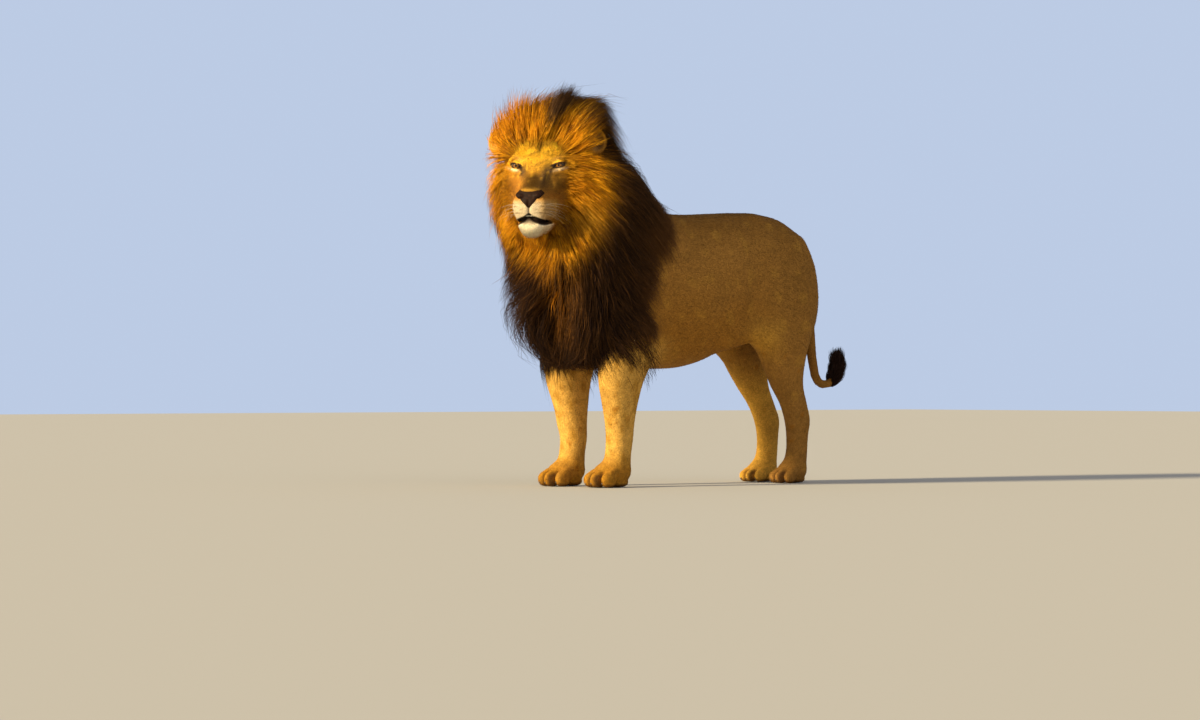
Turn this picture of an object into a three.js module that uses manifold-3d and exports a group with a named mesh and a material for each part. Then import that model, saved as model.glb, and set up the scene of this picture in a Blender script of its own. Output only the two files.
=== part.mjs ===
// A standing male lion, life size, as a still museum model.
//
// Millimetres, +Z up. The lion heads along -Y, its left side is +X, and it stands on z = 0.
// The body is built whole from lofts and rounded lumps, out to the tips of its coat, and is then
// parted with thin cuts into the pieces that a person would name. The head has a frame of its own,
// with its origin midway between the eyes, and is turned to the lion's left.

import * as THREE from 'three';
import { mergeVertices } from 'three/addons/utils/BufferGeometryUtils.js';
import Module from 'manifold-3d';

const wasm = await Module();
wasm.setup();

// ---------------------------------------------------------------- driving dimensions

const GAP = 0.5; // clear width of every parting cut
const BACK = 1002; // height of the back over the loins
const STANCE_FORE = 113; // the fore feet's distance from the middle line
const STANCE_HIND = 100; // the hind feet's distance from the middle line
const FORE_FEET_Y = { left: -394, right: -424 }; // where each fore leg's wrist stands
const HIND_FEET_Y = { left: 466, right: 496 }; // where each hind leg's hock stands
const EYES_AT = new THREE.Vector3( 72, - 730, 1132 ); // the point midway between the eyes
const HEAD_TURN = THREE.MathUtils.degToRad( 39 ); // to the lion's left
const HEAD_NOD = THREE.MathUtils.degToRad( 3 ); // nose down
const EYE_SPACING = 154; // between the two pupils
const EYE_RADIUS = 20;
const SIDES = { left: 1, right: - 1 };

// Moves the model so that its origin is under the middle of its bounding box.
const ORIGIN = new THREE.Vector3( - 1.7, 39.7, 0 );

// ---------------------------------------------------------------- solids

const point = ( x, y, z ) => new THREE.Vector3( x, y, z );
const curve = ( points ) => new THREE.CatmullRomCurve3( points, false, 'catmullrom' );

// A closed geometry as a solid that can be joined and cut.
function solid( geometry ) {

	const bare = geometry.index ? geometry.toNonIndexed() : geometry.clone();
	bare.deleteAttribute( 'normal' );
	bare.deleteAttribute( 'uv' );
	const merged = mergeVertices( bare, 1e-3 );
	return new wasm.Manifold( new wasm.Mesh( {
		numProp: 3,
		vertProperties: new Float32Array( merged.attributes.position.array ),
		triVerts: new Uint32Array( merged.index.array )
	} ) );

}

function join( solids ) {

	return solids.reduce( ( whole, next ) => whole.add( next ) );

}

function geometryOf( body ) {

	const mesh = body.getMesh();
	const geometry = new THREE.BufferGeometry();
	geometry.setAttribute( 'position', new THREE.BufferAttribute( mesh.vertProperties, 3 ) );
	geometry.setIndex( new THREE.BufferAttribute( mesh.triVerts, 1 ) );
	return geometry;

}

// The largest of a cut solid's bodies, without the crumbs that a cut can leave.
function largest( body ) {

	return body.decompose().reduce( ( a, b ) => ( a.volume() > b.volume() ? a : b ) );

}

// A rounded lump: a sphere stretched to three half sizes, turned about Z, and set at a point.
function lump( at, size, { turn = 0, around = 12, rows = 7 } = {} ) {

	const geometry = new THREE.SphereGeometry( 1, around, rows );
	geometry.rotateX( Math.PI / 2 );
	geometry.scale( size[ 0 ], size[ 1 ], size[ 2 ] );
	geometry.rotateZ( turn );
	geometry.translate( at[ 0 ], at[ 1 ], at[ 2 ] );
	return solid( geometry );

}

// A lump on each side of the middle plane.
function mirrored( { at, size } ) {

	return [ 1, - 1 ].map( ( s ) => lump( [ s * at[ 0 ], at[ 1 ], at[ 2 ] ], size, { around: 9, rows: 5 } ) );

}

// Closed rings of equal length, in order along a body, as one closed solid with flat ends.
function skinOver( rings ) {

	const around = rings[ 0 ].length;
	const points = rings.flat();
	const index = [];
	for ( let i = 0; i < rings.length - 1; i ++ ) {

		for ( let j = 0; j < around; j ++ ) {

			const a = i * around + j;
			const b = i * around + ( j + 1 ) % around;
			index.push( a, b, b + around, a, b + around, a + around );

		}

	}

	const last = ( rings.length - 1 ) * around;
	for ( let j = 1; j < around - 1; j ++ ) {

		index.push( 0, j + 1, j, last, last + j, last + j + 1 );

	}

	const made = new THREE.BufferGeometry().setFromPoints( points );
	made.setIndex( index );
	const body = solid( made );
	return body.volume() > 0 ? body : solid( flipped( made ) );

}

function flipped( geometry ) {

	const index = Array.from( geometry.index.array );
	for ( let i = 0; i < index.length; i += 3 ) {

		[ index[ i ], index[ i + 1 ] ] = [ index[ i + 1 ], index[ i ] ];

	}

	return geometry.clone().setIndex( index );

}

// Stations run through smooth curves: each is [centre, half width, half depth], and a section is a
// super-ellipse of the given power that lies square to the axis, 'y' for a trunk or 'z' for a leg.
function loft( stations, axis, { steps = 16, around = 18, power = 2.2, grow = 0 } = {} ) {

	const path = curve( stations.map( ( s ) => s[ 0 ] ) );
	const sizes = curve( stations.map( ( s ) => point( s[ 1 ], s[ 2 ], 0 ) ) );
	const rings = [];
	for ( let i = 0; i <= steps; i ++ ) {

		const centre = path.getPoint( i / steps );
		const size = sizes.getPoint( i / steps );
		rings.push( section( centre, size.x + grow, size.y + grow, axis, around, power ) );

	}

	return skinOver( rings );

}

function section( centre, halfWidth, halfDepth, axis, around, power ) {

	const ring = [];
	for ( let j = 0; j < around; j ++ ) {

		const angle = 2 * Math.PI * ( j + 0.5 ) / around;
		const u = halfWidth * Math.sign( Math.cos( angle ) ) * Math.abs( Math.cos( angle ) ) ** ( 2 / power );
		const v = halfDepth * Math.sign( Math.sin( angle ) ) * Math.abs( Math.sin( angle ) ) ** ( 2 / power );
		const offset = axis === 'y' ? new THREE.Vector3( u, 0, v ) : new THREE.Vector3( u, v, 0 );
		ring.push( offset.add( centre ) );

	}

	return ring;

}

// A tube along a path, with its own radius at each station and its sections square to the path.
function taperedTube( stations, { steps = 20, around = 10 } = {} ) {

	const path = curve( stations.map( ( s ) => s[ 0 ] ) );
	const radii = curve( stations.map( ( s ) => point( s[ 1 ], 0, 0 ) ) );
	const rings = [];
	for ( let i = 0; i <= steps; i ++ ) {

		const t = i / steps;
		const along = path.getTangent( t );
		const side = new THREE.Vector3( 1, 0, 0 ).cross( along ).normalize();
		const across = side.clone().cross( along ).normalize();
		const centre = path.getPoint( t );
		const radius = radii.getPoint( t ).x;
		rings.push( Array.from( { length: around }, ( _, j ) => {

			const angle = 2 * Math.PI * j / around;
			return centre.clone()
				.addScaledVector( side, radius * Math.cos( angle ) )
				.addScaledVector( across, radius * Math.sin( angle ) );

		} ) );

	}

	return skinOver( rings );

}

// ---------------------------------------------------------------- trunk

// Station: y, height of the top line, height of the underline, half width.
const TRUNK = [
	[ - 600, 930, 640, 70 ],
	[ - 550, 985, 540, 130 ],
	[ - 460, 1015, 460, 186 ],
	[ - 330, BACK + 8, 420, 208 ],
	[ - 180, BACK - 8, 410, 212 ],
	[ - 30, BACK - 10, 422, 210 ],
	[ 100, BACK - 2, 465, 202 ],
	[ 210, BACK + 4, 535, 186 ],
	[ 330, BACK + 2, 600, 170 ],
	[ 440, BACK - 24, 632, 150 ],
	[ 510, BACK - 72, 650, 120 ],
	[ 555, BACK - 136, 690, 76 ],
	[ 575, BACK - 180, 740, 32 ]
];

function trunk( grow = 0 ) {

	const stations = TRUNK.map( ( [ y, top, bottom, half ] ) => [
		point( 0, y, ( top + bottom ) / 2 ), half, ( top - bottom ) / 2 ] );
	return loft( stations, 'y', { steps: 14, around: 16, power: 2.25, grow } );

}

// ---------------------------------------------------------------- mane over neck, shoulders and chest

// Station: y, height of the top line, height of the underline, half width, x of the middle.
const NECK_MANE = [
	[ - 842, 830, 710, 34, 42 ],
	[ - 815, 920, 600, 82, 38 ],
	[ - 745, 1050, 490, 150, 30 ],
	[ - 640, 1200, 436, 208, 22 ],
	[ - 500, 1325, 422, 248, 10 ],
	[ - 390, 1265, 426, 256, 4 ],
	[ - 290, 1090, 480, 240, 0 ],
	[ - 200, 1020, 620, 200, 0 ],
	[ - 130, 1010, 800, 128, 0 ]
];

function neckMane( grow ) {

	const stations = NECK_MANE.map( ( [ y, top, bottom, half, x ] ) => [
		point( x, y, ( top + bottom ) / 2 ), half, ( top - bottom ) / 2 ] );
	return loft( stations, 'y', { steps: 10, around: 16, power: 2.35, grow } );

}

// Head frame, y backwards: y, height of the top, height of the bottom, half width.
const RUFF = [
	[ 34, 116, - 266, 142 ],
	[ 62, 188, - 312, 188 ],
	[ 108, 242, - 350, 218 ],
	[ 170, 268, - 368, 229 ],
	[ 245, 262, - 360, 212 ],
	[ 315, 222, - 320, 160 ],
	[ 375, 140, - 250, 90 ]
];
// Tufts that stand out of the ruff: the middle of the crown, its blown left half, its right half, and
// the hair behind the left ear.
const TUFTS = [
	{ at: [ 62, 130, 228 ], size: [ 50, 70, 68 ] },
	{ at: [ 162, 180, 144 ], size: [ 86, 88, 96 ] },
	{ at: [ - 90, 130, 190 ], size: [ 80, 74, 84 ] },
	{ at: [ 204, 215, 44 ], size: [ 66, 80, 80 ] }
];

function ruff() {

	const stations = RUFF.map( ( [ y, top, bottom, half ] ) => [
		point( 0, y, ( top + bottom ) / 2 ), half, ( top - bottom ) / 2 ] );
	return join( [
		loft( stations, 'y', { steps: 8, around: 16, power: 2.6 } ),
		...TUFTS.map( ( { at, size } ) => lump( at, size, { around: 8, rows: 5 } ) )
	] );

}

// ---------------------------------------------------------------- legs

// Station: height, outward offset from the foot's line, offset along y, half width, half depth.
const HIND_LEG = [
	[ 900, - 34, - 60, 56, 110 ],
	[ 800, - 12, - 66, 74, 148 ],
	[ 700, 10, - 74, 84, 160 ],
	[ 600, 22, - 84, 80, 146 ],
	[ 520, 26, - 96, 72, 120 ],
	[ 440, 22, - 90, 60, 97 ],
	[ 360, 14, - 65, 49, 74 ],
	[ 290, 8, - 27, 42, 62 ],
	[ 235, 3, - 5, 40, 59 ],
	[ 170, 0, - 2, 39, 48 ],
	[ 110, 0, - 6, 41, 46 ],
	[ 60, 0, - 18, 46, 52 ]
];
const FORE_LEG = [
	[ 600, 30, 30, 84, 124 ],
	[ 520, 30, 24, 82, 112 ],
	[ 440, 26, 2, 76, 106 ],
	[ 370, 18, - 8, 67, 91 ],
	[ 300, 10, - 6, 58, 74 ],
	[ 230, 4, - 2, 51, 60 ],
	[ 170, 0, 0, 49, 54 ],
	[ 120, 0, - 6, 48, 52 ],
	[ 60, 0, - 16, 52, 58 ]
];

function leg( stations, side, stance, y, steps ) {

	const rings = stations.map( ( [ z, out, along, halfWidth, halfDepth ] ) => [
		point( SIDES[ side ] * ( stance + out ), y + along, z ), halfWidth, halfDepth ] );
	return loft( rings, 'z', { steps, around: 11, power: 2.15 } );

}

// A cat's foot: an instep, a heel pad and four toes in an arc, all standing on one flat.
const PAW = { width: 126, toe: [ 21, 33, 30 ], instep: [ 56, 66, 46 ] };

function paw( side, stance, y, share ) {

	const x = SIDES[ side ] * stance;
	const pieces = [
		lump( [ x, y - 34 * share, 42 * share ], PAW.instep.map( ( s ) => s * share ), { around: 10, rows: 6 } )
	];
	for ( let i = 0; i < 4; i ++ ) {

		const across = ( i - 1.5 ) / 1.5; // from -1, the inner toe, to 1, the outer toe
		const forward = 100 - 24 * across * across;
		pieces.push( lump(
			[ x + across * ( PAW.width / 2 - PAW.toe[ 0 ] ) * share, y - forward * share, 25 ],
			PAW.toe.map( ( s ) => s * share ), { turn: across * 0.22, around: 7, rows: 4 } ) );

	}

	return join( pieces );

}

// ---------------------------------------------------------------- tail

const TAIL = [
	[ point( 0, 520, 900 ), 44 ],
	[ point( 0, 572, 856 ), 38 ],
	[ point( 0, 594, 780 ), 31 ],
	[ point( 2, 604, 680 ), 26 ],
	[ point( 6, 612, 570 ), 23 ],
	[ point( 8, 622, 470 ), 20 ],
	[ point( 8, 640, 402 ), 19 ],
	[ point( 10, 670, 362 ), 19 ],
	[ point( 14, 708, 364 ), 22 ],
	[ point( 20, 736, 400 ), 34 ],
	[ point( 22, 744, 440 ), 42 ],
	[ point( 20, 740, 480 ), 34 ],
	[ point( 18, 734, 510 ), 8 ]
];

// ---------------------------------------------------------------- head

// Station, in the head's frame: y, height of the top, of the widest line and of the underside, half
// width, and how sharply the upper half narrows to a ridge, from 1.4 for the nose to 0.8 for the skull.
const HEAD = [
	[ - 138, - 110, - 130, - 150, 26, 1 ],
	[ - 130, - 90, - 130, - 190, 48, 1.1 ],
	[ - 112, - 72, - 130, - 238, 65, 1.3 ],
	[ - 80, - 52, - 130, - 258, 73, 1.4 ],
	[ - 48, - 28, - 124, - 258, 79, 1.35 ],
	[ - 20, 4, - 108, - 250, 92, 1.15 ],
	[ 2, 38, - 88, - 242, 112, 0.95 ],
	[ 26, 64, - 68, - 232, 130, 0.85 ],
	[ 60, 86, - 54, - 218, 140, 0.8 ],
	[ 120, 94, - 44, - 196, 138, 0.85 ],
	[ 190, 74, - 40, - 156, 112, 0.9 ],
	[ 232, 28, - 40, - 108, 64, 0.95 ]
];
// Swellings and hollows of the left half of the face: where, how wide, and how far the surface moves.
const FEATURES = [
	{ at: [ 66, - 6, 34 ], reach: 30, push: [ 3, - 13, 3 ] }, // brow
	{ at: [ 80, - 20, - 4 ], reach: 22, push: [ 0, 7, 0 ] }, // hollow of the eye
	{ at: [ 108, 14, - 44 ], reach: 44, push: [ 8, - 7, 0 ] }, // cheekbone
	{ at: [ 46, - 20, - 38 ], reach: 26, push: [ - 10, 8, 0 ] }, // hollow beside the bridge
	{ at: [ 48, - 112, - 134 ], reach: 32, push: [ 9, - 10, 0 ] }, // whisker pad
	{ at: [ 58, - 60, - 186 ], reach: 22, push: [ - 8, 0, 2 ] }, // corner of the mouth
	{ at: [ 0, - 116, - 206 ], reach: 28, push: [ 0, - 6, 0 ] } // chin
];

function headShape( grow ) {

	const middle = curve( HEAD.map( ( [ y, , mid ] ) => point( 0, y, mid ) ) );
	const spans = curve( HEAD.map( ( [ , top, mid, bottom, half ] ) =>
		point( half, top - mid, mid - bottom ) ) );
	const ridges = curve( HEAD.map( ( station ) => point( station[ 5 ], 0, 0 ) ) );
	const steps = 15;
	const rings = [];
	for ( let i = 0; i <= steps; i ++ ) {

		const centre = middle.getPoint( i / steps );
		const span = spans.getPoint( i / steps );
		const past = i === 0 ? - grow : i === steps ? grow : 0;
		const ridge = ridges.getPoint( i / steps ).x;
		rings.push( headSection( centre, span, ridge, grow, past ).map( withFeatures ) );

	}

	return skinOver( rings );

}

// Round below its widest line, and above it either as round or narrowing to a ridge.
function headSection( centre, span, ridge, grow, past ) {

	const around = 18;
	return Array.from( { length: around }, ( _, j ) => {

		const angle = 2 * Math.PI * ( j + 0.5 ) / around;
		const [ c, s ] = [ Math.cos( angle ), Math.sin( angle ) ];
		const reach = s > 0 ? span.y : span.z;
		const power = s > 0 ? ridge : 0.95;
		return point(
			centre.x + ( span.x + grow ) * Math.sign( c ) * Math.abs( c ) ** power,
			centre.y + past,
			centre.z + ( reach + grow ) * Math.sign( s ) * Math.abs( s ) ** 0.95
		);

	} );

}

function withFeatures( p ) {

	const moved = p.clone();
	for ( const { at, reach, push } of FEATURES ) {

		for ( const s of Object.values( SIDES ) ) {

			const distance = p.distanceTo( point( s * at[ 0 ], at[ 1 ], at[ 2 ] ) );
			const share = Math.exp( - ( ( distance / reach ) ** 2 ) ) / ( at[ 0 ] === 0 ? 2 : 1 );
			moved.add( point( s * push[ 0 ], push[ 1 ], push[ 2 ] ).multiplyScalar( share ) );

		}

	}

	return moved;

}

// The leather of the nose: broad above the nostrils and narrow where it meets the lip.
const NOSE = { halfWidth: 44, top: - 96, wide: - 110, foot: - 146, front: - 142, depth: 26 };

function nose( grow ) {

	const g = grow;
	const shape = new THREE.Shape();
	shape.moveTo( 0, NOSE.top + g );
	shape.bezierCurveTo( 22, NOSE.top + 2 + g, 38 + g, NOSE.top - 2 + g, NOSE.halfWidth + g, NOSE.wide );
	shape.bezierCurveTo( 38 + g, NOSE.wide - 16 - g, 14 + g, NOSE.foot + 12, 7 + g, NOSE.foot - g );
	shape.lineTo( - 7 - g, NOSE.foot - g );
	shape.bezierCurveTo(
		- 14 - g, NOSE.foot + 12, - 38 - g, NOSE.wide - 16 - g, - NOSE.halfWidth - g, NOSE.wide );
	shape.bezierCurveTo( - 38 - g, NOSE.top - 2 + g, - 22, NOSE.top + 2 + g, 0, NOSE.top + g );
	const geometry = new THREE.ExtrudeGeometry( shape, {
		depth: NOSE.depth + g,
		curveSegments: 3,
		bevelThickness: 7,
		bevelSize: 5,
		bevelOffset: - 5,
		bevelSegments: 1
	} );
	geometry.rotateX( Math.PI / 2 );
	geometry.translate( 0, NOSE.front + NOSE.depth + 7 + g, 0 );
	return solid( geometry );

}

const MOUTH_CORNER_Y = - 44;
const MOUTH_HEIGHT = - 188;

// The parting of the lips: as thin as any other cut as far as the corners, and then a little open.
function mouthCut() {

	const half = GAP / 2;
	const outline = [
		[ - 300, - half ], [ - MOUTH_CORNER_Y, - half ], [ 200, - half - 3 ],
		[ 200, half + 6 ], [ - MOUTH_CORNER_Y, half ], [ - 300, half ]
	];
	const shape = new THREE.Shape( outline.map( ( [ x, y ] ) => new THREE.Vector2( x, MOUTH_HEIGHT + y ) ) );
	const geometry = new THREE.ExtrudeGeometry( shape, { depth: 300, bevelEnabled: false } );
	geometry.translate( 0, 0, - 150 );
	geometry.rotateX( Math.PI / 2 );
	geometry.rotateZ( - Math.PI / 2 );
	return solid( geometry );

}

function eyeBall( side, grow ) {

	return lump( [ SIDES[ side ] * EYE_SPACING / 2, 21, - 2 ],
		[ EYE_RADIUS + grow, EYE_RADIUS + grow, EYE_RADIUS + grow ], { around: 10, rows: 7 } );

}

// The hollow in the face in which the eyeball sits, so that the ball shows between the lids.
function eyeHollow( side ) {

	return lump( [ SIDES[ side ] * EYE_SPACING / 2, - 6, - 2 ], [ 23, 22, 11 ], { around: 9, rows: 5 } );

}

// A round cupped ear that stands up and out from the skull.
const EAR = { at: [ 174, 152, 84 ], size: [ 48, 22, 54 ], turn: 0.3, cup: 11 };

function ear( side, grow ) {

	const s = SIDES[ side ];
	const turn = s * EAR.turn;
	const outer = lump( [ s * EAR.at[ 0 ], EAR.at[ 1 ], EAR.at[ 2 ] ],
		EAR.size.map( ( x ) => x + grow ), { turn, around: 11, rows: 6 } );
	if ( grow ) return outer;
	const forward = EAR.size[ 1 ] + 4;
	const cup = lump( [
		s * EAR.at[ 0 ] + Math.sin( turn ) * forward,
		EAR.at[ 1 ] - Math.cos( turn ) * forward,
		EAR.at[ 2 ]
	], [ EAR.size[ 0 ] - EAR.cup, EAR.size[ 1 ], EAR.size[ 2 ] - EAR.cup ], { turn, around: 11, rows: 6 } );
	return outer.subtract( cup );

}

// ---------------------------------------------------------------- the head's pieces, in its own frame

function headPieces() {

	const balls = join( Object.keys( SIDES ).map( ( side ) => eyeBall( side, GAP ) ) );
	const hollows = join( Object.keys( SIDES ).map( ( side ) => eyeHollow( side ) ) );
	const whole = headShape( 0 ).subtract( hollows ).subtract( balls ).subtract( nose( GAP ) );
	const [ upper, lower ] = whole.subtract( mouthCut() ).decompose()
		.sort( ( a, b ) => b.volume() - a.volume() );
	return { head: upper, jaw: lower, nose: nose( 0 ) };

}

// The room that the head and ears take in the mane, a little larger than they are, with a wide
// opening for the face and a pocket in front of each ear.
const FACE_OPENING = { at: [ 0, - 30, - 66 ], size: [ 130, 100, 176 ] };
const EAR_POCKET = { at: [ 186, 108, 88 ], size: [ 60, 60, 60 ] };

function headRoom() {

	return join( [
		headShape( GAP ),
		...Object.keys( SIDES ).flatMap( ( side ) => [ ear( side, GAP ), eyeBall( side, 8 ) ] ),
		...mirrored( EAR_POCKET ),
		lump( FACE_OPENING.at, FACE_OPENING.size )
	] );

}

// ---------------------------------------------------------------- parting

// Parts a body at a plane, half the gap off each side: [the side the normal points to, the other].
function partAt( body, normal, at ) {

	const offset = normal.dot( at );
	return [
		body.trimByPlane( normal.toArray(), offset + GAP / 2 ),
		body.trimByPlane( normal.clone().negate().toArray(), - offset + GAP / 2 )
	];

}

const UP = point( 0, 0, 1 );
const AHEAD = point( 0, - 1, 0 );
const LEFT = point( 1, 0, 0 );

const headPlace = new THREE.Object3D();
headPlace.position.copy( EYES_AT );
headPlace.rotation.set( HEAD_NOD, 0, HEAD_TURN, 'ZYX' );
headPlace.updateMatrix();

function placedWithHead( body ) {

	return solid( geometryOf( body ).applyMatrix4( headPlace.matrix ) );

}

// Parts a body at a plane that is given in the head's frame.
function partAtHead( body, normal, at ) {

	return partAt( body, normal.clone().applyQuaternion( headPlace.quaternion ),
		at.clone().applyMatrix4( headPlace.matrix ) );

}

// ---------------------------------------------------------------- putting the lion together

const parts = {};

function keep( name, body ) {

	parts[ name ] = largest( body );

}

// The head, with eyes and ears.
for ( const [ name, body ] of Object.entries( headPieces() ) ) keep( name, placedWithHead( body ) );
for ( const side of Object.keys( SIDES ) ) {

	keep( 'eye_' + side, placedWithHead( eyeBall( side, 0 ) ) );
	keep( 'ear_' + side, placedWithHead( ear( side, 0 ).subtract( headShape( GAP ) ) ) );

}

// The mane: a ring of four pieces round the face, the nape behind them, the chest and two shoulders.
const mane = placedWithHead( ruff() ).add( neckMane( 0 ) ).subtract( placedWithHead( headRoom() ) );
const [ maneAbove, maneBelow ] = partAtHead( mane, point( 0, - 0.3, 1 ).normalize(), point( 0, 0, - 290 ) );
const [ ring, nape ] = partAtHead( maneAbove, AHEAD, point( 0, 175, 0 ) );
const [ crown, ringBelow ] = partAtHead( ring, UP, point( 0, 0, 96 ) );
const [ ringSides, throat ] = partAtHead( ringBelow, UP, point( 0, 0, - 214 ) );
const [ ringLeft, ringRight ] = partAtHead( ringSides, LEFT, point( 0, 0, 0 ) );
const [ chest, shoulders ] = partAt( maneBelow, AHEAD, point( 0, - 590, 0 ) );
const [ shoulderLeft, shoulderRight ] = partAt( shoulders, LEFT, point( 0, 0, 0 ) );
keep( 'mane_crown', crown );
keep( 'mane_cheek_left', ringLeft );
keep( 'mane_cheek_right', ringRight );
keep( 'mane_throat', throat );
keep( 'neck', nape );
keep( 'chest', chest );
keep( 'shoulder_left', shoulderLeft );
keep( 'shoulder_right', shoulderRight );

// The trunk behind the mane, with the tops of the legs, then the legs below it.
const LEG_CUTS = {
	fore: { normal: point( 0, 0, 1 ), at: point( 0, - 430, 402 ), wrist: 196, ankle: 84 },
	hind: { normal: point( 0, - 0.38, 1 ).normalize(), at: point( 0, 400, 570 ), wrist: 296, ankle: 88 }
};
const room = neckMane( GAP );
const legs = {};
const tops = [];
for ( const side of Object.keys( SIDES ) ) {

	const whole = {
		fore: leg( FORE_LEG, side, STANCE_FORE, FORE_FEET_Y[ side ], 8 )
			.add( paw( side, STANCE_FORE, FORE_FEET_Y[ side ], 1.12 ) ),
		hind: leg( HIND_LEG, side, STANCE_HIND, HIND_FEET_Y[ side ], 11 )
			.add( paw( side, STANCE_HIND, HIND_FEET_Y[ side ], 0.95 ) )
	};
	for ( const [ end, body ] of Object.entries( whole ) ) {

		const { normal, at } = LEG_CUTS[ end ];
		const [ top, below ] = partAt( body, normal, at );
		tops.push( top );
		legs[ end + '_' + side ] = below.trimByPlane( [ 0, 0, 1 ], 0 ).subtract( room );

	}

}

const torso = join( [ trunk(), ...tops ] ).subtract( room );
const [ thorax, behind ] = partAt( torso, AHEAD, point( 0, - 20, 0 ) );
const [ belly, rump ] = partAt( behind, AHEAD, point( 0, 235, 0 ) );
keep( 'thorax', thorax );
keep( 'belly', belly );
keep( 'rump', rump );

for ( const [ name, body ] of Object.entries( legs ) ) {

	const { wrist, ankle } = LEG_CUTS[ name.split( '_' )[ 0 ] ];
	const [ upper, lower ] = partAt( body, UP, point( 0, 0, wrist ) );
	const [ shank, foot ] = partAt( lower, UP, point( 0, 0, ankle ) );
	keep( 'leg_' + name, upper );
	keep( 'ankle_' + name, shank );
	keep( 'paw_' + name, foot );

}

// The tail in three lengths and its tuft.
const tail = taperedTube( TAIL, { steps: 20, around: 8 } ).subtract( join( [ trunk( GAP ), ...tops ] ) );
const [ tailTop, tailRest ] = partAt( tail, UP, point( 0, 0, 690 ) );
const [ tailUpright, tailHook ] = partAt( tailRest, AHEAD, point( 0, 676, 0 ) );
const [ tailBend, tuft ] = partAt( tailHook, AHEAD, point( 0, 718, 0 ) );
keep( 'tail_root', tailTop );
keep( 'tail_middle', tailUpright );
keep( 'tail_bend', tailBend );
keep( 'tail_tuft', tuft );

const COLOURS = [
	[ /^mane|^neck|^chest|^shoulder|tuft/, 0x3a2012 ],
	[ /^eye/, 0xb07a1e ],
	[ /^nose/, 0x3a2218 ],
	[ /./, 0xb98a4e ]
];

const group = new THREE.Group();
group.name = 'lion';
for ( const [ name, body ] of Object.entries( parts ) ) {

	const colour = COLOURS.find( ( [ pattern ] ) => pattern.test( name ) )[ 1 ];
	const material = new THREE.MeshStandardMaterial( { color: colour, roughness: 0.85 } );
	const geometry = geometryOf( body ).translate( ORIGIN.x, ORIGIN.y, ORIGIN.z );
	const mesh = new THREE.Mesh( geometry, material );
	mesh.name = name;
	group.add( mesh );

}

export default group;
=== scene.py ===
# %% [markdown]
# # A standing male lion
# This lesson dresses a life-size lion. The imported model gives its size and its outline, out to the tips
# of the coat. One seamless skin is shaped inside it, and eyes, nose, teeth, claws, whiskers and about
# 170,000 slivers of hair go on the skin. Everything is worked out with numpy. Blender receives finished
# meshes and gives them materials, light and a camera.

# %% Tools and the frame
from collections import namedtuple

import bpy
import numpy as np
import openvdb
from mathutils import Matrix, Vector


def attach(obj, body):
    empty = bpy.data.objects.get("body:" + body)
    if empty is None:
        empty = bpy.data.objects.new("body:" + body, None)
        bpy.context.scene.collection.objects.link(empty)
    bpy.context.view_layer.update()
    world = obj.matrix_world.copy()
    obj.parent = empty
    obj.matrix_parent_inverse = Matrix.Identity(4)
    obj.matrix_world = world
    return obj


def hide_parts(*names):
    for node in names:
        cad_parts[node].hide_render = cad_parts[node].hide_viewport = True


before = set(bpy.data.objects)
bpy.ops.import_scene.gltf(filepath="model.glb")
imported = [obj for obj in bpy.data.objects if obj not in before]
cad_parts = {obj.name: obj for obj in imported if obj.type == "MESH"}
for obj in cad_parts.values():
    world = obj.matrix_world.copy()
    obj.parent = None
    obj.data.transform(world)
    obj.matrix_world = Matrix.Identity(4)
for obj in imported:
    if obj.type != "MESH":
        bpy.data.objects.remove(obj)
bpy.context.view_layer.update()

RNG = np.random.default_rng(7)
SIDES = (1, -1)  # the lion's left is +X

# %% [markdown]
# ## Small tools for shapes
# An animal has no straight edges and no seams, so its body is described as a field: a function that
# gives, for any point in space, roughly how far outside the skin it is. Fields join with a soft minimum,
# which fills the corner between a leg and the belly as muscle does. Boxes and subdivision could give the
# same body, but a field also tells every hair where the skin is.

# %% Curves, soft joins and easing
def through(t, knots, values):
    """A cubic through every (knot, value), with the slope at each knot taken from its two neighbours."""
    knots, values = np.asarray(knots, float), np.asarray(values, float)
    slopes = np.gradient(values, knots, axis=0)
    i = np.clip(np.searchsorted(knots, t) - 1, 0, len(knots) - 2)
    h = (knots[i + 1] - knots[i])[:, None]
    u = np.clip((t - knots[i])[:, None] / h, 0, 1)
    a, b = values[i], values[i + 1]
    return (a * (1 + 2 * u) + slopes[i] * h * u) * (1 - u) ** 2 + (
        b * (3 - 2 * u) - slopes[i + 1] * h * (1 - u)) * u ** 2


def soft_min(a, b, k):
    """The smaller of two distances, rounded over a width k where they are nearly equal."""
    h = np.clip(0.5 + 0.5 * (b - a) / k, 0, 1)
    return b + (a - b) * h - k * h * (1 - h)


def soft_max(a, b, k):
    """The larger of two distances, rounded in the same way."""
    return -soft_min(-a, -b, k)


def ramp(x, low, high):
    """0 below low, 1 above high, and an S-curve between them."""
    u = np.clip((x - low) / (high - low), 0, 1)
    return u * u * (3 - 2 * u)


def bell(d, width):
    """exp(-(d / width)^2)."""
    return np.exp(-(d / width) ** 2)


ALL = np.inf  # the radius of a spot in a direction in which it doesn't fade


def spot(p, centre, radii):
    """exp(-|(p - centre) / radii|^2): 1 at the centre, fading in each direction over its radius."""
    return np.exp(-(((p - np.asarray(centre)) / np.asarray(radii)) ** 2).sum(1))


def unit(v):
    """Each row divided by its length."""
    return v / np.maximum(np.linalg.norm(v, axis=-1, keepdims=True), 1e-9)


def mirrored(p):
    """The right half laid over the left: (|x|, y, z)."""
    return np.stack([np.abs(p[:, 0]), p[:, 1], p[:, 2]], 1)


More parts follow.
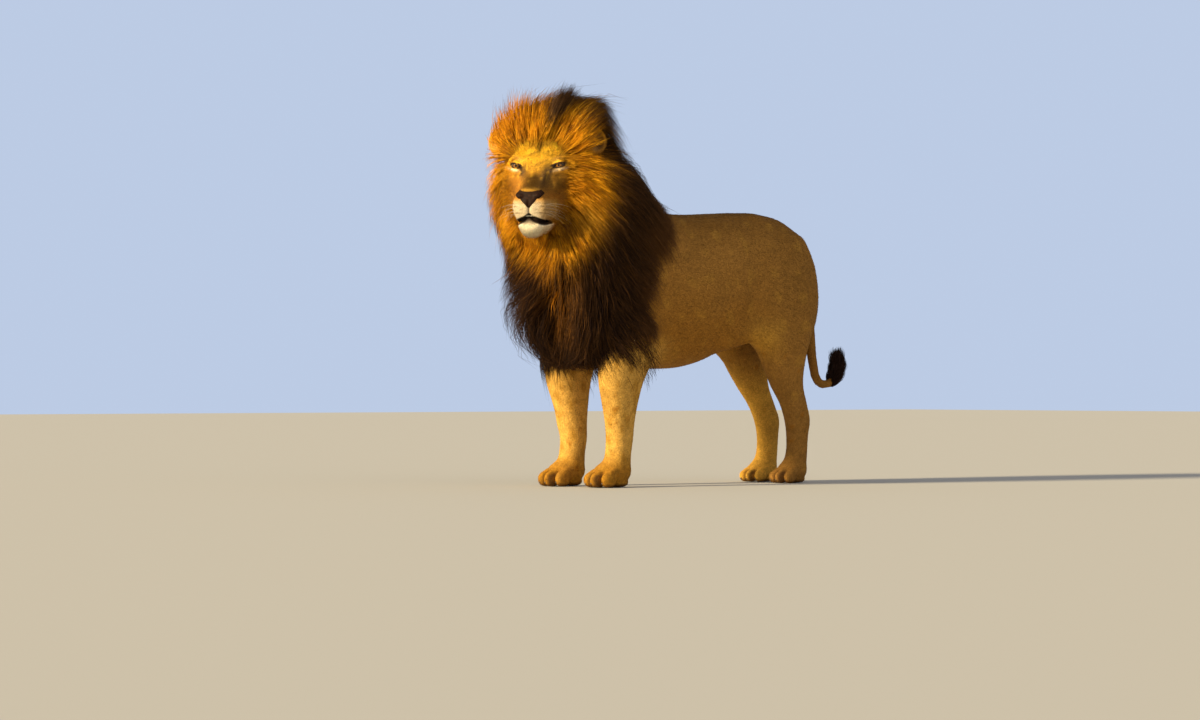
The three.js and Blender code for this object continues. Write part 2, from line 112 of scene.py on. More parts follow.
# %% Distances to simple bodies
def lump(p, centre, radii, turn=0.0):
    """Distance to an ellipsoid, about |q/r| (|q/r| - 1) / |q/r^2|, after a turn about Z."""
    q = p - np.asarray(centre)
    if turn:
        c, s = np.cos(turn), np.sin(turn)
        q = np.stack([c * q[:, 0] + s * q[:, 1], c * q[:, 1] - s * q[:, 0], q[:, 2]], 1)
    r = np.asarray(radii)
    near = np.linalg.norm(q / r, axis=1)
    return near * (near - 1) / np.maximum(np.linalg.norm(q / r ** 2, axis=1), 1e-9)


def chain(p, points, radii):
    """Distance to a string of round cones: to each length of the path, less a radius that varies along it."""
    points, far = np.asarray(points, float), None
    for a, b, ra, rb in zip(points[:-1], points[1:], radii[:-1], radii[1:]):
        h = np.clip((p - a) @ (b - a) / ((b - a) @ (b - a)), 0, 1)
        d = np.linalg.norm(p - a - h[:, None] * (b - a), axis=1) - (ra + h * (rb - ra))
        far = d if far is None else np.minimum(far, d)
    return far


def around(u, v, a, b, power):
    """Distance in a section to the super-ellipse |u/a|^p + |v/b|^p = 1, measured towards its middle."""
    g = (np.abs(u / a) ** power + np.abs(v / b) ** power) ** (1 / power)
    return np.hypot(u, v) * (1 - 1 / np.maximum(g, 1e-4))


def sleeve(p, table, power, depth=0.0, least=0.01, ends=0.03):
    """A body whose section at y is a super-ellipse, less a depth all round, with soft ends.

    The rows are y, top line, underline, half width and, where the body bends, the middle's x."""
    y = p[:, 1]
    top, low, half, *middle = through(y, table[:, 0], table[:, 1:]).T
    x = p[:, 0] - middle[0] if middle else p[:, 0]
    half, tall = np.maximum(half - depth, least), np.maximum((top - low) / 2 - depth, least)
    d = around(x, p[:, 2] - (top + low) / 2, half, tall, power)
    past = np.maximum(table[0, 0] + depth - y, y - table[-1, 0] + depth)
    return soft_max(d, past, ends)


# %% [markdown]
# ## The body under the coat
# The measurements are the lion's own, in metres, in a frame that heads along -Y. The trunk is a row of
# sections with a top line, an underline and a half width. The legs are columns of sections over the
# feet, and the tail is a string of round cones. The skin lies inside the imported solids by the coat's
# depth: 8 mm on the trunk, 5 mm on the legs, and a hand's breadth and more where the mane hangs.

# %% Trunk and tail in numbers
SHIFT = np.array([-0.0017, 0.0397, 0.0])  # from the lion's own middle line to the frame's origin
TRUNK_DEPTH, LEG_DEPTH = 0.008, 0.005
TRUNK_POWER, LEG_POWER = 2.25, 2.15  # how square the sections are; 2 is an ellipse
TRUNK = np.array([  # y, top line, underline, half width
    [-0.600, 0.900, 0.640, 0.070], [-0.550, 0.945, 0.540, 0.120], [-0.460, 0.985, 0.470, 0.165],
    [-0.330, 1.005, 0.430, 0.190], [-0.180, 0.994, 0.415, 0.206], [-0.030, 0.992, 0.422, 0.209],
    [0.100, 1.000, 0.465, 0.202], [0.210, 1.006, 0.535, 0.186], [0.330, 1.004, 0.600, 0.170],
    [0.440, 0.978, 0.632, 0.150], [0.510, 0.930, 0.650, 0.120], [0.555, 0.866, 0.690, 0.076],
    [0.575, 0.822, 0.740, 0.032]])
NECK = np.array([  # x, y, z, radius
    [0.000, -0.280, 0.800, 0.190], [0.004, -0.440, 0.915, 0.175], [0.016, -0.550, 1.020, 0.155],
    [0.012, -0.625, 1.090, 0.120]])
TAIL = np.array([  # x, y, z, radius
    [0.000, 0.520, 0.900, 0.038], [0.000, 0.572, 0.856, 0.034], [0.000, 0.590, 0.780, 0.027],
    [0.002, 0.602, 0.680, 0.023], [0.006, 0.610, 0.570, 0.020], [0.008, 0.621, 0.470, 0.017],
    [0.008, 0.636, 0.402, 0.016], [0.009, 0.650, 0.378, 0.0155], [0.010, 0.670, 0.366, 0.015],
    [0.014, 0.700, 0.368, 0.014], [0.018, 0.722, 0.385, 0.013], [0.021, 0.736, 0.415, 0.012],
    [0.021, 0.738, 0.450, 0.008]])
print(len(TRUNK), "sections of the trunk,", len(TAIL), "points along the tail")

# %% Legs in numbers
Limb = namedtuple("Limb", "sections stance feet size")  # stance: a foot's x; feet: its y by side
FORE = Limb(np.array([  # height, outward, along y, half width, half depth
    [0.060, 0.000, -0.016, 0.052, 0.058], [0.120, 0.000, -0.006, 0.048, 0.052],
    [0.170, 0.000, 0.000, 0.049, 0.054], [0.230, 0.004, -0.002, 0.051, 0.060],
    [0.300, 0.010, -0.006, 0.058, 0.074], [0.370, 0.018, -0.008, 0.067, 0.091],
    [0.440, 0.026, 0.002, 0.076, 0.106], [0.520, 0.030, 0.024, 0.082, 0.112],
    [0.600, 0.030, 0.030, 0.084, 0.124]]), 0.113, {1: -0.394, -1: -0.424}, 1.12)
HIND = Limb(np.array([
    [0.060, 0.000, -0.018, 0.046, 0.052], [0.110, 0.000, -0.006, 0.041, 0.046],
    [0.170, 0.000, -0.002, 0.039, 0.048], [0.235, 0.003, -0.005, 0.040, 0.059],
    [0.290, 0.008, -0.027, 0.042, 0.062], [0.360, 0.014, -0.065, 0.049, 0.074],
    [0.440, 0.022, -0.090, 0.060, 0.097], [0.520, 0.026, -0.098, 0.072, 0.122],
    [0.600, 0.022, -0.088, 0.080, 0.142], [0.700, 0.010, -0.079, 0.084, 0.154],
    [0.800, -0.012, -0.066, 0.074, 0.148], [0.900, -0.034, -0.060, 0.056, 0.110]]),
    0.100, {1: 0.466, -1: 0.496}, 0.95)
print(len(FORE.sections), "and", len(HIND.sections), "sections of the legs")


# %% Leg and paw fields
def leg(q, limb, side):
    """A column of super-elliptic sections over one foot."""
    table = limb.sections
    z = np.clip(q[:, 2], table[0, 0], table[-1, 0])
    out, along, half, deep = through(z, table[:, 0], table[:, 1:]).T
    u, v = side * q[:, 0] - limb.stance - out, q[:, 1] - limb.feet[side] - along
    d = around(u, v, half - LEG_DEPTH, deep - LEG_DEPTH, LEG_POWER)
    past = np.maximum(q[:, 2] - table[-1, 0], table[0, 0] - 0.02 - q[:, 2])
    return soft_max(d, past, 0.03)


def paw(q, limb, side):
    """An instep and four toes in an arc, softly joined, and trimmed flat by the floor."""
    s, x, y = limb.size, side * limb.stance, limb.feet[side]
    d = lump(q, (x, y - 0.034 * s, 0.042 * s), (0.051 * s, 0.062 * s, 0.041 * s))
    for i in range(4):
        a = (i - 1.5) / 1.5
        at = np.array([x + a * 0.041 * s, y - (0.100 - 0.024 * a ** 2) * s, 0.024 * s])
        toe = lump(q, at, (0.0172 * s, 0.031 * s, 0.0265 * s), a * 0.22)
        knuckle = lump(q, at + (0, 0.022 * s, 0.018 * s), (0.0140 * s, 0.030 * s, 0.019 * s), a * 0.2)
        d = soft_min(d, soft_min(toe, knuckle, 0.008), 0.003)
    pad = lump(q, (x, y - 0.020 * s, 0.016 * s), (0.042 * s, 0.045 * s, 0.020 * s))
    return soft_max(soft_min(d, pad, 0.008), 0.0015 - q[:, 2], 0.004)


# %% [markdown]
# ## Muscle and bone
# Shoulder blades, ribs, hip and thigh show through a short coat as shallow swellings and hollows. They
# could be sculpted by hand. Here each is a bell curve that is taken from the distance, so the surface
# moves out by its height where the bell is centred and not at all far away, and any of them can be
# changed by one number.

# %% Swellings and hollows
def relief(q, bells):
    """The sum of h exp(-|(q - c) / r|^2) over rows (x, y, z, rx, ry, rz, h), each on both sides."""
    m, total = mirrored(q), np.zeros(len(q))
    for row in np.asarray(bells):
        total += row[6] * spot(m, row[:3], row[3:6])
    return total


BODY_BELLS = [
    (0.165, -0.350, 0.460, 0.04, 0.05, 0.05, 0.010),   # elbow
    (0.195, -0.230, 0.700, 0.05, 0.07, 0.16, -0.010),  # behind the shoulder
    (0.200, -0.020, 0.640, 0.10, 0.16, 0.14, 0.009),   # ribs
    (0.190, 0.200, 0.680, 0.05, 0.05, 0.15, -0.015),   # flank
    (0.085, 0.270, 0.985, 0.035, 0.045, 0.03, 0.007),  # point of the hip
    (0.150, 0.330, 0.930, 0.07, 0.09, 0.05, -0.006),   # below the hip
    (0.160, 0.400, 0.700, 0.06, 0.10, 0.12, 0.013),    # thigh
    (0.150, 0.290, 0.520, 0.04, 0.04, 0.06, 0.008),    # stifle
    (0.110, 0.520, 0.640, 0.05, 0.04, 0.11, 0.006),    # buttock
    (0.000, 0.100, 1.010, 0.02, 0.30, 0.05, -0.004),   # groove of the spine
    (0.145, -0.470, 0.225, 0.02, 0.04, 0.03, 0.004),   # wrist
]

# %% The body without its head
LEGS_BELOW = 0.80  # above this height only the haunches still matter
FLANK_FOLD = np.array([[0.120, 0.10, 0.535], [0.128, 0.21, 0.560], [0.128, 0.32, 0.530]])


def trunk_and_legs(q):
    """Everything but the head, softly joined."""
    d = sleeve(q, TRUNK, TRUNK_POWER, TRUNK_DEPTH, least=0.004, ends=0.02)
    d = soft_min(d, chain(q, NECK[:, :3], NECK[:, 3]), 0.06)
    d = soft_min(d, chain(q, TAIL[:, :3], TAIL[:, 3]), 0.03)
    low = q[:, 2] < LEGS_BELOW
    r, joined = q[low], d[low]
    for side in SIDES:
        fore, hind = (soft_min(leg(r, limb, side), paw(r, limb, side), 0.022) for limb in (FORE, HIND))
        fold = chain(r, FLANK_FOLD * (side, 1, 1), (0.040, 0.042, 0.045))
        joined = soft_min(joined, fore, 0.045)
        joined = soft_min(joined, soft_min(hind, fold, 0.05), 0.05)
    d[low] = joined
    for side in SIDES:
        d[~low] = soft_min(d[~low], leg(q[~low], HIND, side), 0.05)
    return d - relief(q, BODY_BELLS)


# %% [markdown]
# ## The head
# The head gets a frame of its own, with its origin midway between the pupils and its axes to the left,
# backwards and up. It is turned 39 degrees to the lion's left and nods by three. Its sections run from the
# nose to the back of the skull, round below and narrowing above to the bridge of the nose. Bells then add
# brows, cheekbones, whisker pads and chin, and three carvings open the mouth, the lids and the ears.

# %% The head's frame
EYES_AT = np.array([0.072, -0.730, 1.132])
TURN, NOD = np.radians(39), np.radians(3)
HEAD_AXES = np.array([
    [np.cos(TURN), np.sin(TURN), 0],
    [-np.sin(TURN) * np.cos(NOD), np.cos(TURN) * np.cos(NOD), np.sin(NOD)],
    [np.sin(TURN) * np.sin(NOD), -np.cos(TURN) * np.sin(NOD), np.cos(NOD)]])


def to_head(q):
    """The lion's coordinates turned into the head's."""
    return (q - EYES_AT) @ HEAD_AXES.T


def from_head(h):
    """The head's coordinates turned into the frame's."""
    return h @ HEAD_AXES + EYES_AT + SHIFT


# %% Sections and bells of the skull
HEAD_DEPTH = 0.004
HEAD = np.array([  # y, top, widest line, underside, half width, ridge
    [-0.1400, -0.116, -0.130, -0.146, 0.020, 1.00], [-0.1335, -0.094, -0.130, -0.186, 0.046, 1.10],
    [-0.1120, -0.074, -0.132, -0.232, 0.059, 1.25], [-0.0800, -0.054, -0.130, -0.246, 0.066, 1.35],
    [-0.0480, -0.032, -0.124, -0.248, 0.075, 1.30], [-0.0200, 0.002, -0.108, -0.248, 0.090, 1.10],
    [0.0020, 0.034, -0.088, -0.240, 0.110, 0.95], [0.0260, 0.062, -0.068, -0.232, 0.130, 0.85],
    [0.0600, 0.084, -0.054, -0.218, 0.140, 0.80], [0.1200, 0.092, -0.044, -0.196, 0.138, 0.85],
    [0.1900, 0.074, -0.040, -0.156, 0.112, 0.90], [0.2320, 0.028, -0.040, -0.108, 0.064, 0.95]])
FACE_BELLS = [
    (0.062, -0.014, 0.027, 0.034, 0.022, 0.012, 0.0125),    # brow
    (0.000, -0.026, 0.008, 0.020, 0.026, 0.024, -0.0080),   # stop, between the eyes
    (0.000, 0.030, 0.066, 0.010, 0.030, 0.034, -0.0050),    # furrow of the forehead
    (0.040, 0.024, 0.066, 0.022, 0.030, 0.024, 0.0065),     # bump of the forehead
    (0.047, -0.034, -0.014, 0.012, 0.018, 0.012, -0.0090),  # inner corner of the eye
    (0.080, -0.012, -0.026, 0.028, 0.016, 0.007, 0.0036),   # bag under the eye
    (0.106, -0.004, -0.044, 0.030, 0.034, 0.022, 0.0110),   # cheekbone
    (0.096, -0.010, -0.098, 0.028, 0.040, 0.026, -0.0080),  # hollow below it
    (0.058, -0.052, -0.068, 0.014, 0.046, 0.024, -0.0115),  # beside the bridge
    (0.034, -0.066, -0.040, 0.011, 0.050, 0.018, 0.0085),   # edge of the bridge
    (0.036, -0.120, -0.154, 0.028, 0.030, 0.024, 0.0105),   # whisker pad
    (0.066, -0.062, -0.154, 0.022, 0.046, 0.026, 0.0070),   # back of the pad
    (0.000, -0.146, -0.160, 0.005, 0.022, 0.026, -0.0090),  # groove of the upper lip
    (0.080, -0.034, -0.204, 0.018, 0.024, 0.018, -0.0060),  # corner of the mouth
    (0.000, -0.116, -0.230, 0.056, 0.034, 0.021, 0.0135),   # chin
    (0.028, -0.112, -0.214, 0.016, 0.024, 0.009, 0.0050),   # lower lip
    (0.090, 0.030, -0.130, 0.030, 0.040, 0.050, 0.0060),    # jowl
]


def skull(h):
    """Sections square to y, each |x/a|^(1/ridge) against |z/b|, with the bells on top."""
    y = h[:, 1]
    top, mid, low, half, ridge = through(y, HEAD[:, 0], HEAD[:, 1:]).T
    up = h[:, 2] > mid
    tall = np.where(up, top - mid, mid - low) - HEAD_DEPTH
    half = half - HEAD_DEPTH
    c = (np.abs(h[:, 0]) / half) ** (1 / np.where(up, ridge, 0.82))
    s = (np.abs(h[:, 2] - mid) / np.maximum(tall, 0.004)) ** (1 / 0.95)
    g = np.sqrt(c * c + s * s)
    d = np.hypot(h[:, 0], h[:, 2] - mid) * (1 - 1 / np.maximum(g, 1e-4))
    past = np.maximum(HEAD[0, 0] + HEAD_DEPTH - y, y - HEAD[-1, 0])
    return soft_max(d, past, 0.016) - relief(h, FACE_BELLS)


# %% Lids and lips
EYE_SPACING, EYE_RADIUS, LID_THICK = 0.154, 0.0195, 0.0038
EYE_AT = np.array([EYE_SPACING / 2, 0.0165, -0.002])
EYE_TILT = np.radians(13)  # the outer corner stands higher than the inner one
LID_REACH, UPPER_LID, LOWER_LID = 0.0200, 0.0047, -0.0066  # half the slit's length, and its two edges


def eye_plane(h):
    """Distances out from the pupil and up from it, in axes that tilt with the lids."""
    u, w = np.abs(h[:, 0]) - EYE_AT[0], h[:, 2] - EYE_AT[2]
    c, s = np.cos(EYE_TILT), np.sin(EYE_TILT)
    return c * u + s * w, c * w - s * u


def eye_window(h):
    """An almond across the front of the eyeball: two arcs that meet at the corners of the lids."""
    u, w = eye_plane(h)
    reach = 1 - np.clip(np.abs(u) / LID_REACH, 0, 1) ** 1.8
    d = np.maximum(w - UPPER_LID * reach, LOWER_LID * reach - w)
    return np.maximum(np.maximum(d, np.abs(u) - LID_REACH), h[:, 1] - EYE_AT[1])


def lip_line(h):
    """Height of the parting of the lips: arched under the nose, lower beside it, rising to the corners."""
    x, back = np.abs(h[:, 0]), ramp(h[:, 1], -0.125, -0.040)
    return -0.190 + 0.012 * bell(x, 0.013) * (1 - back) - 0.014 * ramp(x, 0.015, 0.066) + 0.003 * back


def mouth_gap(h, d):
    """A slot that follows the lips, 15 mm high in front and closed at the corners, 24 mm deep."""
    high = 0.0075 * (1 - 0.8 * ramp(h[:, 1], -0.100, -0.036))
    slot = np.maximum(np.abs(h[:, 2] - lip_line(h)) - high, h[:, 1] + 0.030)
    return np.maximum(slot, -(d + 0.024))


# %% Ears, and the whole head
EAR_AT, EAR_TURN = np.array([0.174, 0.150, 0.082]), 0.30
EAR_STALK = [(0.105, 0.130, 0.040), (0.150, 0.150, 0.066)]


def ear(h):
    """A cupped shell: one ellipsoid less another that stands in front of it, on a short stalk."""
    m = mirrored(h)
    outer = lump(m, EAR_AT, (0.041, 0.024, 0.046), EAR_TURN)
    front = EAR_AT + 0.021 * np.array([np.sin(EAR_TURN), -np.cos(EAR_TURN), 0])
    cup = lump(m, front, (0.033, 0.025, 0.037), EAR_TURN)
    return soft_min(soft_max(outer, -cup, 0.005), chain(m, EAR_STALK, (0.040, 0.030)), 0.014)


def head(h):
    """Skull, lids, mouth and ears together."""
    lids = np.linalg.norm(mirrored(h) - EYE_AT, axis=1) - EYE_RADIUS - LID_THICK
    d = soft_min(skull(h), lids, 0.010)
    d = soft_max(d, -eye_window(h), 0.0016)
    d = soft_max(d, -mouth_gap(h, d), 0.003)
    return soft_min(d, ear(h), 0.016)


def skin_distance(p):
    """The whole skin: trunk, legs and head, in the frame's coordinates."""
    q = p - SHIFT
    d = trunk_and_legs(q)
    near = np.linalg.norm(q - EYES_AT, axis=1) < 0.42
    d[near] = soft_min(d[near], head(to_head(q[near])), 0.03)
    return d


print("distance at the origin:", skin_distance(np.zeros((1, 3))))

# %% [markdown]
# ## From a field to a skin
# A lattice of points samples the field, and OpenVDB draws a net of quads where it changes sign. The
# lattice is fine at the lids and lips and coarse on the flank, because its lines are spaced unevenly and
# the net is stretched back afterwards. Each vertex then walks down the field's slope until it lies on
# the skin. Body, head and paws are drawn in lattices of their own and overlap out of sight.

# %% Lattice, net and settling
def spaced(stops, steps):
    """Lattice lines from stop to stop, with about the given step in each stretch."""
    lines = [np.linspace(a, b, max(2, int(round((b - a) / s)) + 1))[:-1]
             for a, b, s in zip(stops[:-1], stops[1:], steps)]
    return np.concatenate(lines + [[stops[-1]]])


CORNERS = np.array([[1, 1, 1], [1, -1, -1], [-1, 1, -1], [-1, -1, 1]])


def feel(p, distance, h=0.0008):
    """Value and slope from samples at a tetrahedron's corners: f = mean f_i, g = sum c_i f_i / 4h."""
    f = np.stack([distance(p + c * h) for c in CORNERS], 1)
    return f.mean(1), f @ CORNERS / (4 * h)


def settle(p, distance, rounds=2):
    """Newton's step, p - f g / |g|^2, a few times and never more than 4 mm."""
    for _ in range(rounds):
        f, g = feel(p, distance)
        f = np.clip(f / np.maximum((g * g).sum(1), 0.25), -0.004, 0.004)
        p = p - f[:, None] * g
    return p


def net(distance, axes, place=lambda q: q, step=3):
    """Quads round the zero of a distance, settled on it, and sampled only near it.

    Every third lattice line is sampled first, and then the rest where the surface can be."""
    rough = [lines[::step] for lines in axes]
    widest = max(np.max(np.diff(lines)) for lines in rough)
    corners = np.stack(np.meshgrid(*rough, indexing="ij"), -1)
    d = distance(place(corners.reshape(-1, 3))).reshape(corners.shape[:3])
    for axis, lines in enumerate(axes):
        d = np.take(d, np.minimum((np.arange(len(lines)) + step // 2) // step, d.shape[axis] - 1), axis)
    near = np.abs(d) < widest * 1.3
    i, j, k = np.nonzero(near)
    d[near] = distance(place(np.stack([axes[0][i], axes[1][j], axes[2][k]], 1)))
    grid = openvdb.FloatGrid(1.0)
    grid.copyFromArray(d.astype(np.float32))
    points, quads = grid.convertToQuads(0.0)
    points = np.stack([np.interp(points[:, a], np.arange(len(axes[a])), axes[a]) for a in range(3)], 1)
    return settle(place(points), distance), quads.astype(np.int64)


# %% The skin's three kinds of net
UNDER = 0.0006  # how far the nets of head and paws lie outside the body's, where they overlap


def body_part(p):
    """The skin behind a plane through the neck and above the paws, closed there inside the other nets."""
    q = p - SHIFT
    cut = (q - (0.03, -0.58, 1.06)) @ np.array([0.35, -0.55, 0.75])
    return np.maximum(np.maximum(trunk_and_legs(q), cut), 0.052 - q[:, 2])


def head_part(p):
    """The skin of the head and the front of the neck."""
    cut = -((p - SHIFT - (0.0, -0.50, 0.98)) @ np.array([0.30, -0.62, 0.72]))
    return np.maximum(skin_distance(p) + UNDER, cut)


def paw_part(p):
    """The skin of the paws, up to the wrist."""
    q = p - SHIFT
    return np.maximum(trunk_and_legs(q) + UNDER, q[:, 2] - 0.062)


body_axes = [
    spaced((-0.24, 0.24), (0.0102,)),
    spaced((-0.66, -0.44, -0.30, 0.36, 0.56, 0.82), (0.0078, 0.0093, 0.0113, 0.0084, 0.0082)),
    spaced((0.040, 0.10, 0.45, 1.26), (0.0069, 0.0104, 0.0116))]
head_axes = [
    spaced((-0.25, -0.104, -0.050, 0.050, 0.104, 0.25), (0.0061, 0.0018, 0.0036, 0.0018, 0.0061)),
    spaced((-0.165, -0.024, 0.016, 0.34), (0.0036, 0.0020, 0.0072)),
    spaced((-0.30, -0.215, -0.165, -0.020, 0.018, 0.17), (0.0060, 0.0026, 0.0044, 0.0017, 0.0056))]
nets = [net(body_part, body_axes), net(head_part, head_axes, from_head)]
for limb in (FORE, HIND):
    for side in SIDES:
        x, y = SHIFT[0] + side * limb.stance, SHIFT[1] + limb.feet[side]
        paw_axes = [spaced((x - 0.078, x + 0.078), (0.0049,)),
                    spaced((y - 0.160 * limb.size, y + 0.075), (0.0050,)), spaced((-0.006, 0.068), (0.0049,))]
        nets.append(net(paw_part, paw_axes))
starts = np.cumsum([0] + [len(points) for points, _ in nets])
skin_points = np.concatenate([points for points, _ in nets])
skin_quads = np.concatenate([quads + start for (_, quads), start in zip(nets, starts)])
print("quads of body, head and paws:", [len(quads) for _, quads in nets])


# %% Areas, normals and the outer surface
def vertex_normals(points, quads):
    """Each vertex's normal: the sum of its quads' normals, half the cross product of the diagonals."""
    a, b, c, d = (points[quads[:, i]] for i in range(4))
    face = np.cross(c - a, d - b) / 2
    total = [np.bincount(quads.ravel(), np.repeat(face[:, i], 4), len(points)) for i in range(3)]
    return unit(np.stack(total, 1)), np.linalg.norm(face, axis=1)


skin_normals, quad_area = vertex_normals(skin_points, skin_quads)
quad_middle = skin_points[skin_quads].mean(1)
quad_shown = np.abs(skin_distance(quad_middle)) < 0.0045
print(round(quad_area[quad_shown].sum(), 2), "square metres of skin show,",
      round(quad_area[~quad_shown].sum(), 2), "lie inside the neck")

# %% [markdown]
# ## The shape of the mane
# The outside of the mane is a second field, made of sections like the trunk's: a ruff round the face, in
# the head's frame, and the long mane of neck, shoulders and chest. Skin and outside together give every
# point a layer, 0 on the skin and 1 at the mane's surface. A lock is combed by walking from its root while
# it keeps to its own layer, so hair fills the mane evenly and ends where the mane ends.

# %% The outside of the mane
NECK_MANE = np.array([  # y, top, bottom, half width, middle
    [-0.842, 0.830, 0.710, 0.034, 0.042], [-0.815, 0.920, 0.600, 0.082, 0.038],
    [-0.745, 1.050, 0.490, 0.150, 0.030], [-0.640, 1.200, 0.436, 0.208, 0.022],
    [-0.500, 1.325, 0.422, 0.246, 0.010], [-0.390, 1.265, 0.426, 0.252, 0.004],
    [-0.290, 1.090, 0.480, 0.240, 0.000], [-0.200, 1.020, 0.620, 0.200, 0.000],
    [-0.130, 1.010, 0.800, 0.128, 0.000]])
RUFF = np.array([  # in the head's frame: y, top, bottom, half width
    [0.034, 0.116, -0.266, 0.142], [0.062, 0.188, -0.312, 0.188], [0.108, 0.242, -0.350, 0.218],
    [0.170, 0.268, -0.368, 0.229], [0.245, 0.262, -0.360, 0.212], [0.315, 0.222, -0.320, 0.160],
    [0.375, 0.140, -0.250, 0.090]])
CROWN = (0.062, 0.130, 0.228), (0.050, 0.070, 0.068)  # middles and radii of four puffs of blown hair
BLOWN = (0.162, 0.180, 0.144), (0.086, 0.088, 0.096)
FALLEN = (-0.090, 0.130, 0.190), (0.080, 0.074, 0.084)
NAPE = (0.204, 0.215, 0.044), (0.066, 0.080, 0.080)


def mane_distance(q, h):
    """Distance to the outside of the mane, negative inside it."""
    crown, blown, fallen, nape = (lump(h, *puff) for puff in (CROWN, BLOWN, FALLEN, NAPE))
    puffs = soft_min(soft_min(crown, blown, 0.02), soft_min(fallen, nape, 0.02), 0.02)
    return soft_min(soft_min(sleeve(q, NECK_MANE, 2.35), sleeve(h, RUFF, 2.6), 0.06), puffs, 0.03)


# %% Layers between skin and outside
class Lattice:
    """Values kept at evenly spaced points, and read between them by weighing the eight nearest."""

    def __init__(self, low, step, values):
        self.low, self.step, self.values = np.asarray(low), step, values

    def at(self, p):
        """The sum of the eight nearest values, each times the product of its nearness along the axes."""
        t = np.clip((p - self.low) / self.step, 0, np.array(self.values.shape[:3]) - 1.001)
        i = t.astype(int)
        f = t - i
        near, total = (1 - f, f), 0
        for a, b, c in np.ndindex(2, 2, 2):
            w = near[a][:, :1] * near[b][:, 1:2] * near[c][:, 2:]
            total = total + w * self.values[i[:, 0] + a, i[:, 1] + b, i[:, 2] + c]
        return total


LOW, STEP, SHAPE = np.array([-0.36, -1.0, 0.24]), 0.012, (61, 86, 104)
lines = [LOW[a] + STEP * np.arange(SHAPE[a]) for a in range(3)]
spots = np.stack(np.meshgrid(*lines, indexing="ij"), -1).reshape(-1, 3)
inner = skin_distance(spots)
outer = mane_distance(spots - SHIFT, to_head(spots - SHIFT))
depth = np.maximum(inner - outer, 0.012)
layer = (inner / depth).reshape(SHAPE)
outward = np.stack(np.gradient(layer, STEP), -1)
outward /= np.maximum(np.linalg.norm(outward, axis=-1, keepdims=True), 1e-6)
MANE = Lattice(LOW, STEP, np.concatenate([layer[..., None], depth.reshape(SHAPE)[..., None], outward], -1))
print("lattice of", len(spots), "points; the mane is up to",
      round(float(depth[(inner > 0) & (outer < 0)].max()), 3), "m deep")

# %% [markdown]
# ## Colours of skin and coat
# A lion's colours follow its body: tawny above, pale below, amber mane by the face and nearly black
# behind it. They could be painted on an image. Here they are worked out from the place on the body, once,
# and skin and hair both take them, so a gap between two tufts shows the same colour as the tufts. Waves
# of different lengths and directions, added up, give soft patches with no pattern to them.

# %% Patches, mixing and the palette
def patches(p, size, seed, waves=10):
    """Sum of sines with random directions and phases, scaled to about -1..1; size is the patch length."""
    r = np.random.default_rng(seed)
    k = unit(r.normal(size=(waves, 3))) * (2 * np.pi / size) * r.uniform(0.6, 1.5, (waves, 1))
    return np.sin(p @ k.T + r.uniform(0, 6.28, waves)).sum(1) / np.sqrt(waves)


def blend(a, b, t):
    """Colour a where t is 0 and b where it is 1."""
    t = np.clip(t, 0, 1)[:, None]
    return a * (1 - t) + np.asarray(b) * t


def all_over(colour, p):
    """The colour once for each point."""
    return np.tile(colour, (len(p), 1))


TAWNY = np.array([0.324, 0.156, 0.032])
TOPLINE = np.array([0.235, 0.108, 0.020])
OCHRE = np.array([0.300, 0.128, 0.008])
GOLD = np.array([0.650, 0.350, 0.050])
CREAM = np.array([0.820, 0.660, 0.440])
AMBER = np.array([0.760, 0.325, 0.006])
DEEP_AMBER = np.array([0.400, 0.135, 0.003])
BROWN = np.array([0.085, 0.038, 0.012])
DUSK = np.array([0.060, 0.029, 0.004])
BLACK = np.array([0.016, 0.007, 0.005])
DARK_SKIN = np.array([0.022, 0.014, 0.011])

# %% [markdown]
# ## Where the mane begins and ends
# The long hair starts at an uneven rim round the face, leaves the ears free, and ends at the withers,
# behind the shoulders and above the elbows. Each border is a measure that runs through a ramp, so the
# long hair thins out over a few centimetres instead of stopping at a line.

# %% Borders of the mane
def face_rim(h):
    """A measure from the face's middle that is about 1 where the ruff begins, with an uneven edge."""
    ahead = np.maximum(h, (-1, -0.055, -1)) - (0, -0.030, -0.066)
    face = np.linalg.norm(ahead / (0.126, 0.098, 0.176), axis=1)
    chin = np.linalg.norm((h - (0, -0.086, -0.208)) / (0.088, 0.080, 0.046), axis=1)
    return np.minimum(face, chin) + 0.035 * patches(h, 0.05, 41, 6)


def bare_face(h):
    """1 on the short-haired face, 0 where the ruff and crown begin."""
    return 1 - ramp(face_rim(h), 0.93, 1.07)


def mane_rear(q):
    """The y at which the mane's hair ends: at the withers on top and behind the shoulder on the side."""
    return -0.335 + 0.105 * ramp(q[:, 2], 0.84, 0.98) + 0.02 * np.sin(31 * q[:, 2] + 2.0)


def mane_ground(q, h):
    """1 where the long hair grows: inside the mane's outline, off face, ears and legs, and not behind."""
    share = ramp(-mane_distance(q, h), 0.004, 0.016) * (1 - bare_face(h)) * ramp(ear(h), 0.004, 0.011)
    share = share * ramp(mane_rear(q) - 0.03 - q[:, 1], 0, 0.03)
    return share * ramp(q[:, 2] + 0.010 * patches(q * (1, 1, 0), 0.05, 62, 6), 0.495, 0.545)


# %% [markdown]
# ## The mane's colours
# The ruff is amber with gold by the brow, and the mane behind it is nearly black with brown ends and a
# brown streak below the chin. A dark parting runs up from the forehead. Two random numbers, one shared by
# a lock and one for each hair, shift the borders, so the colours mingle hair by hair as they do in a
# real mane, and don't stop at a painted edge.

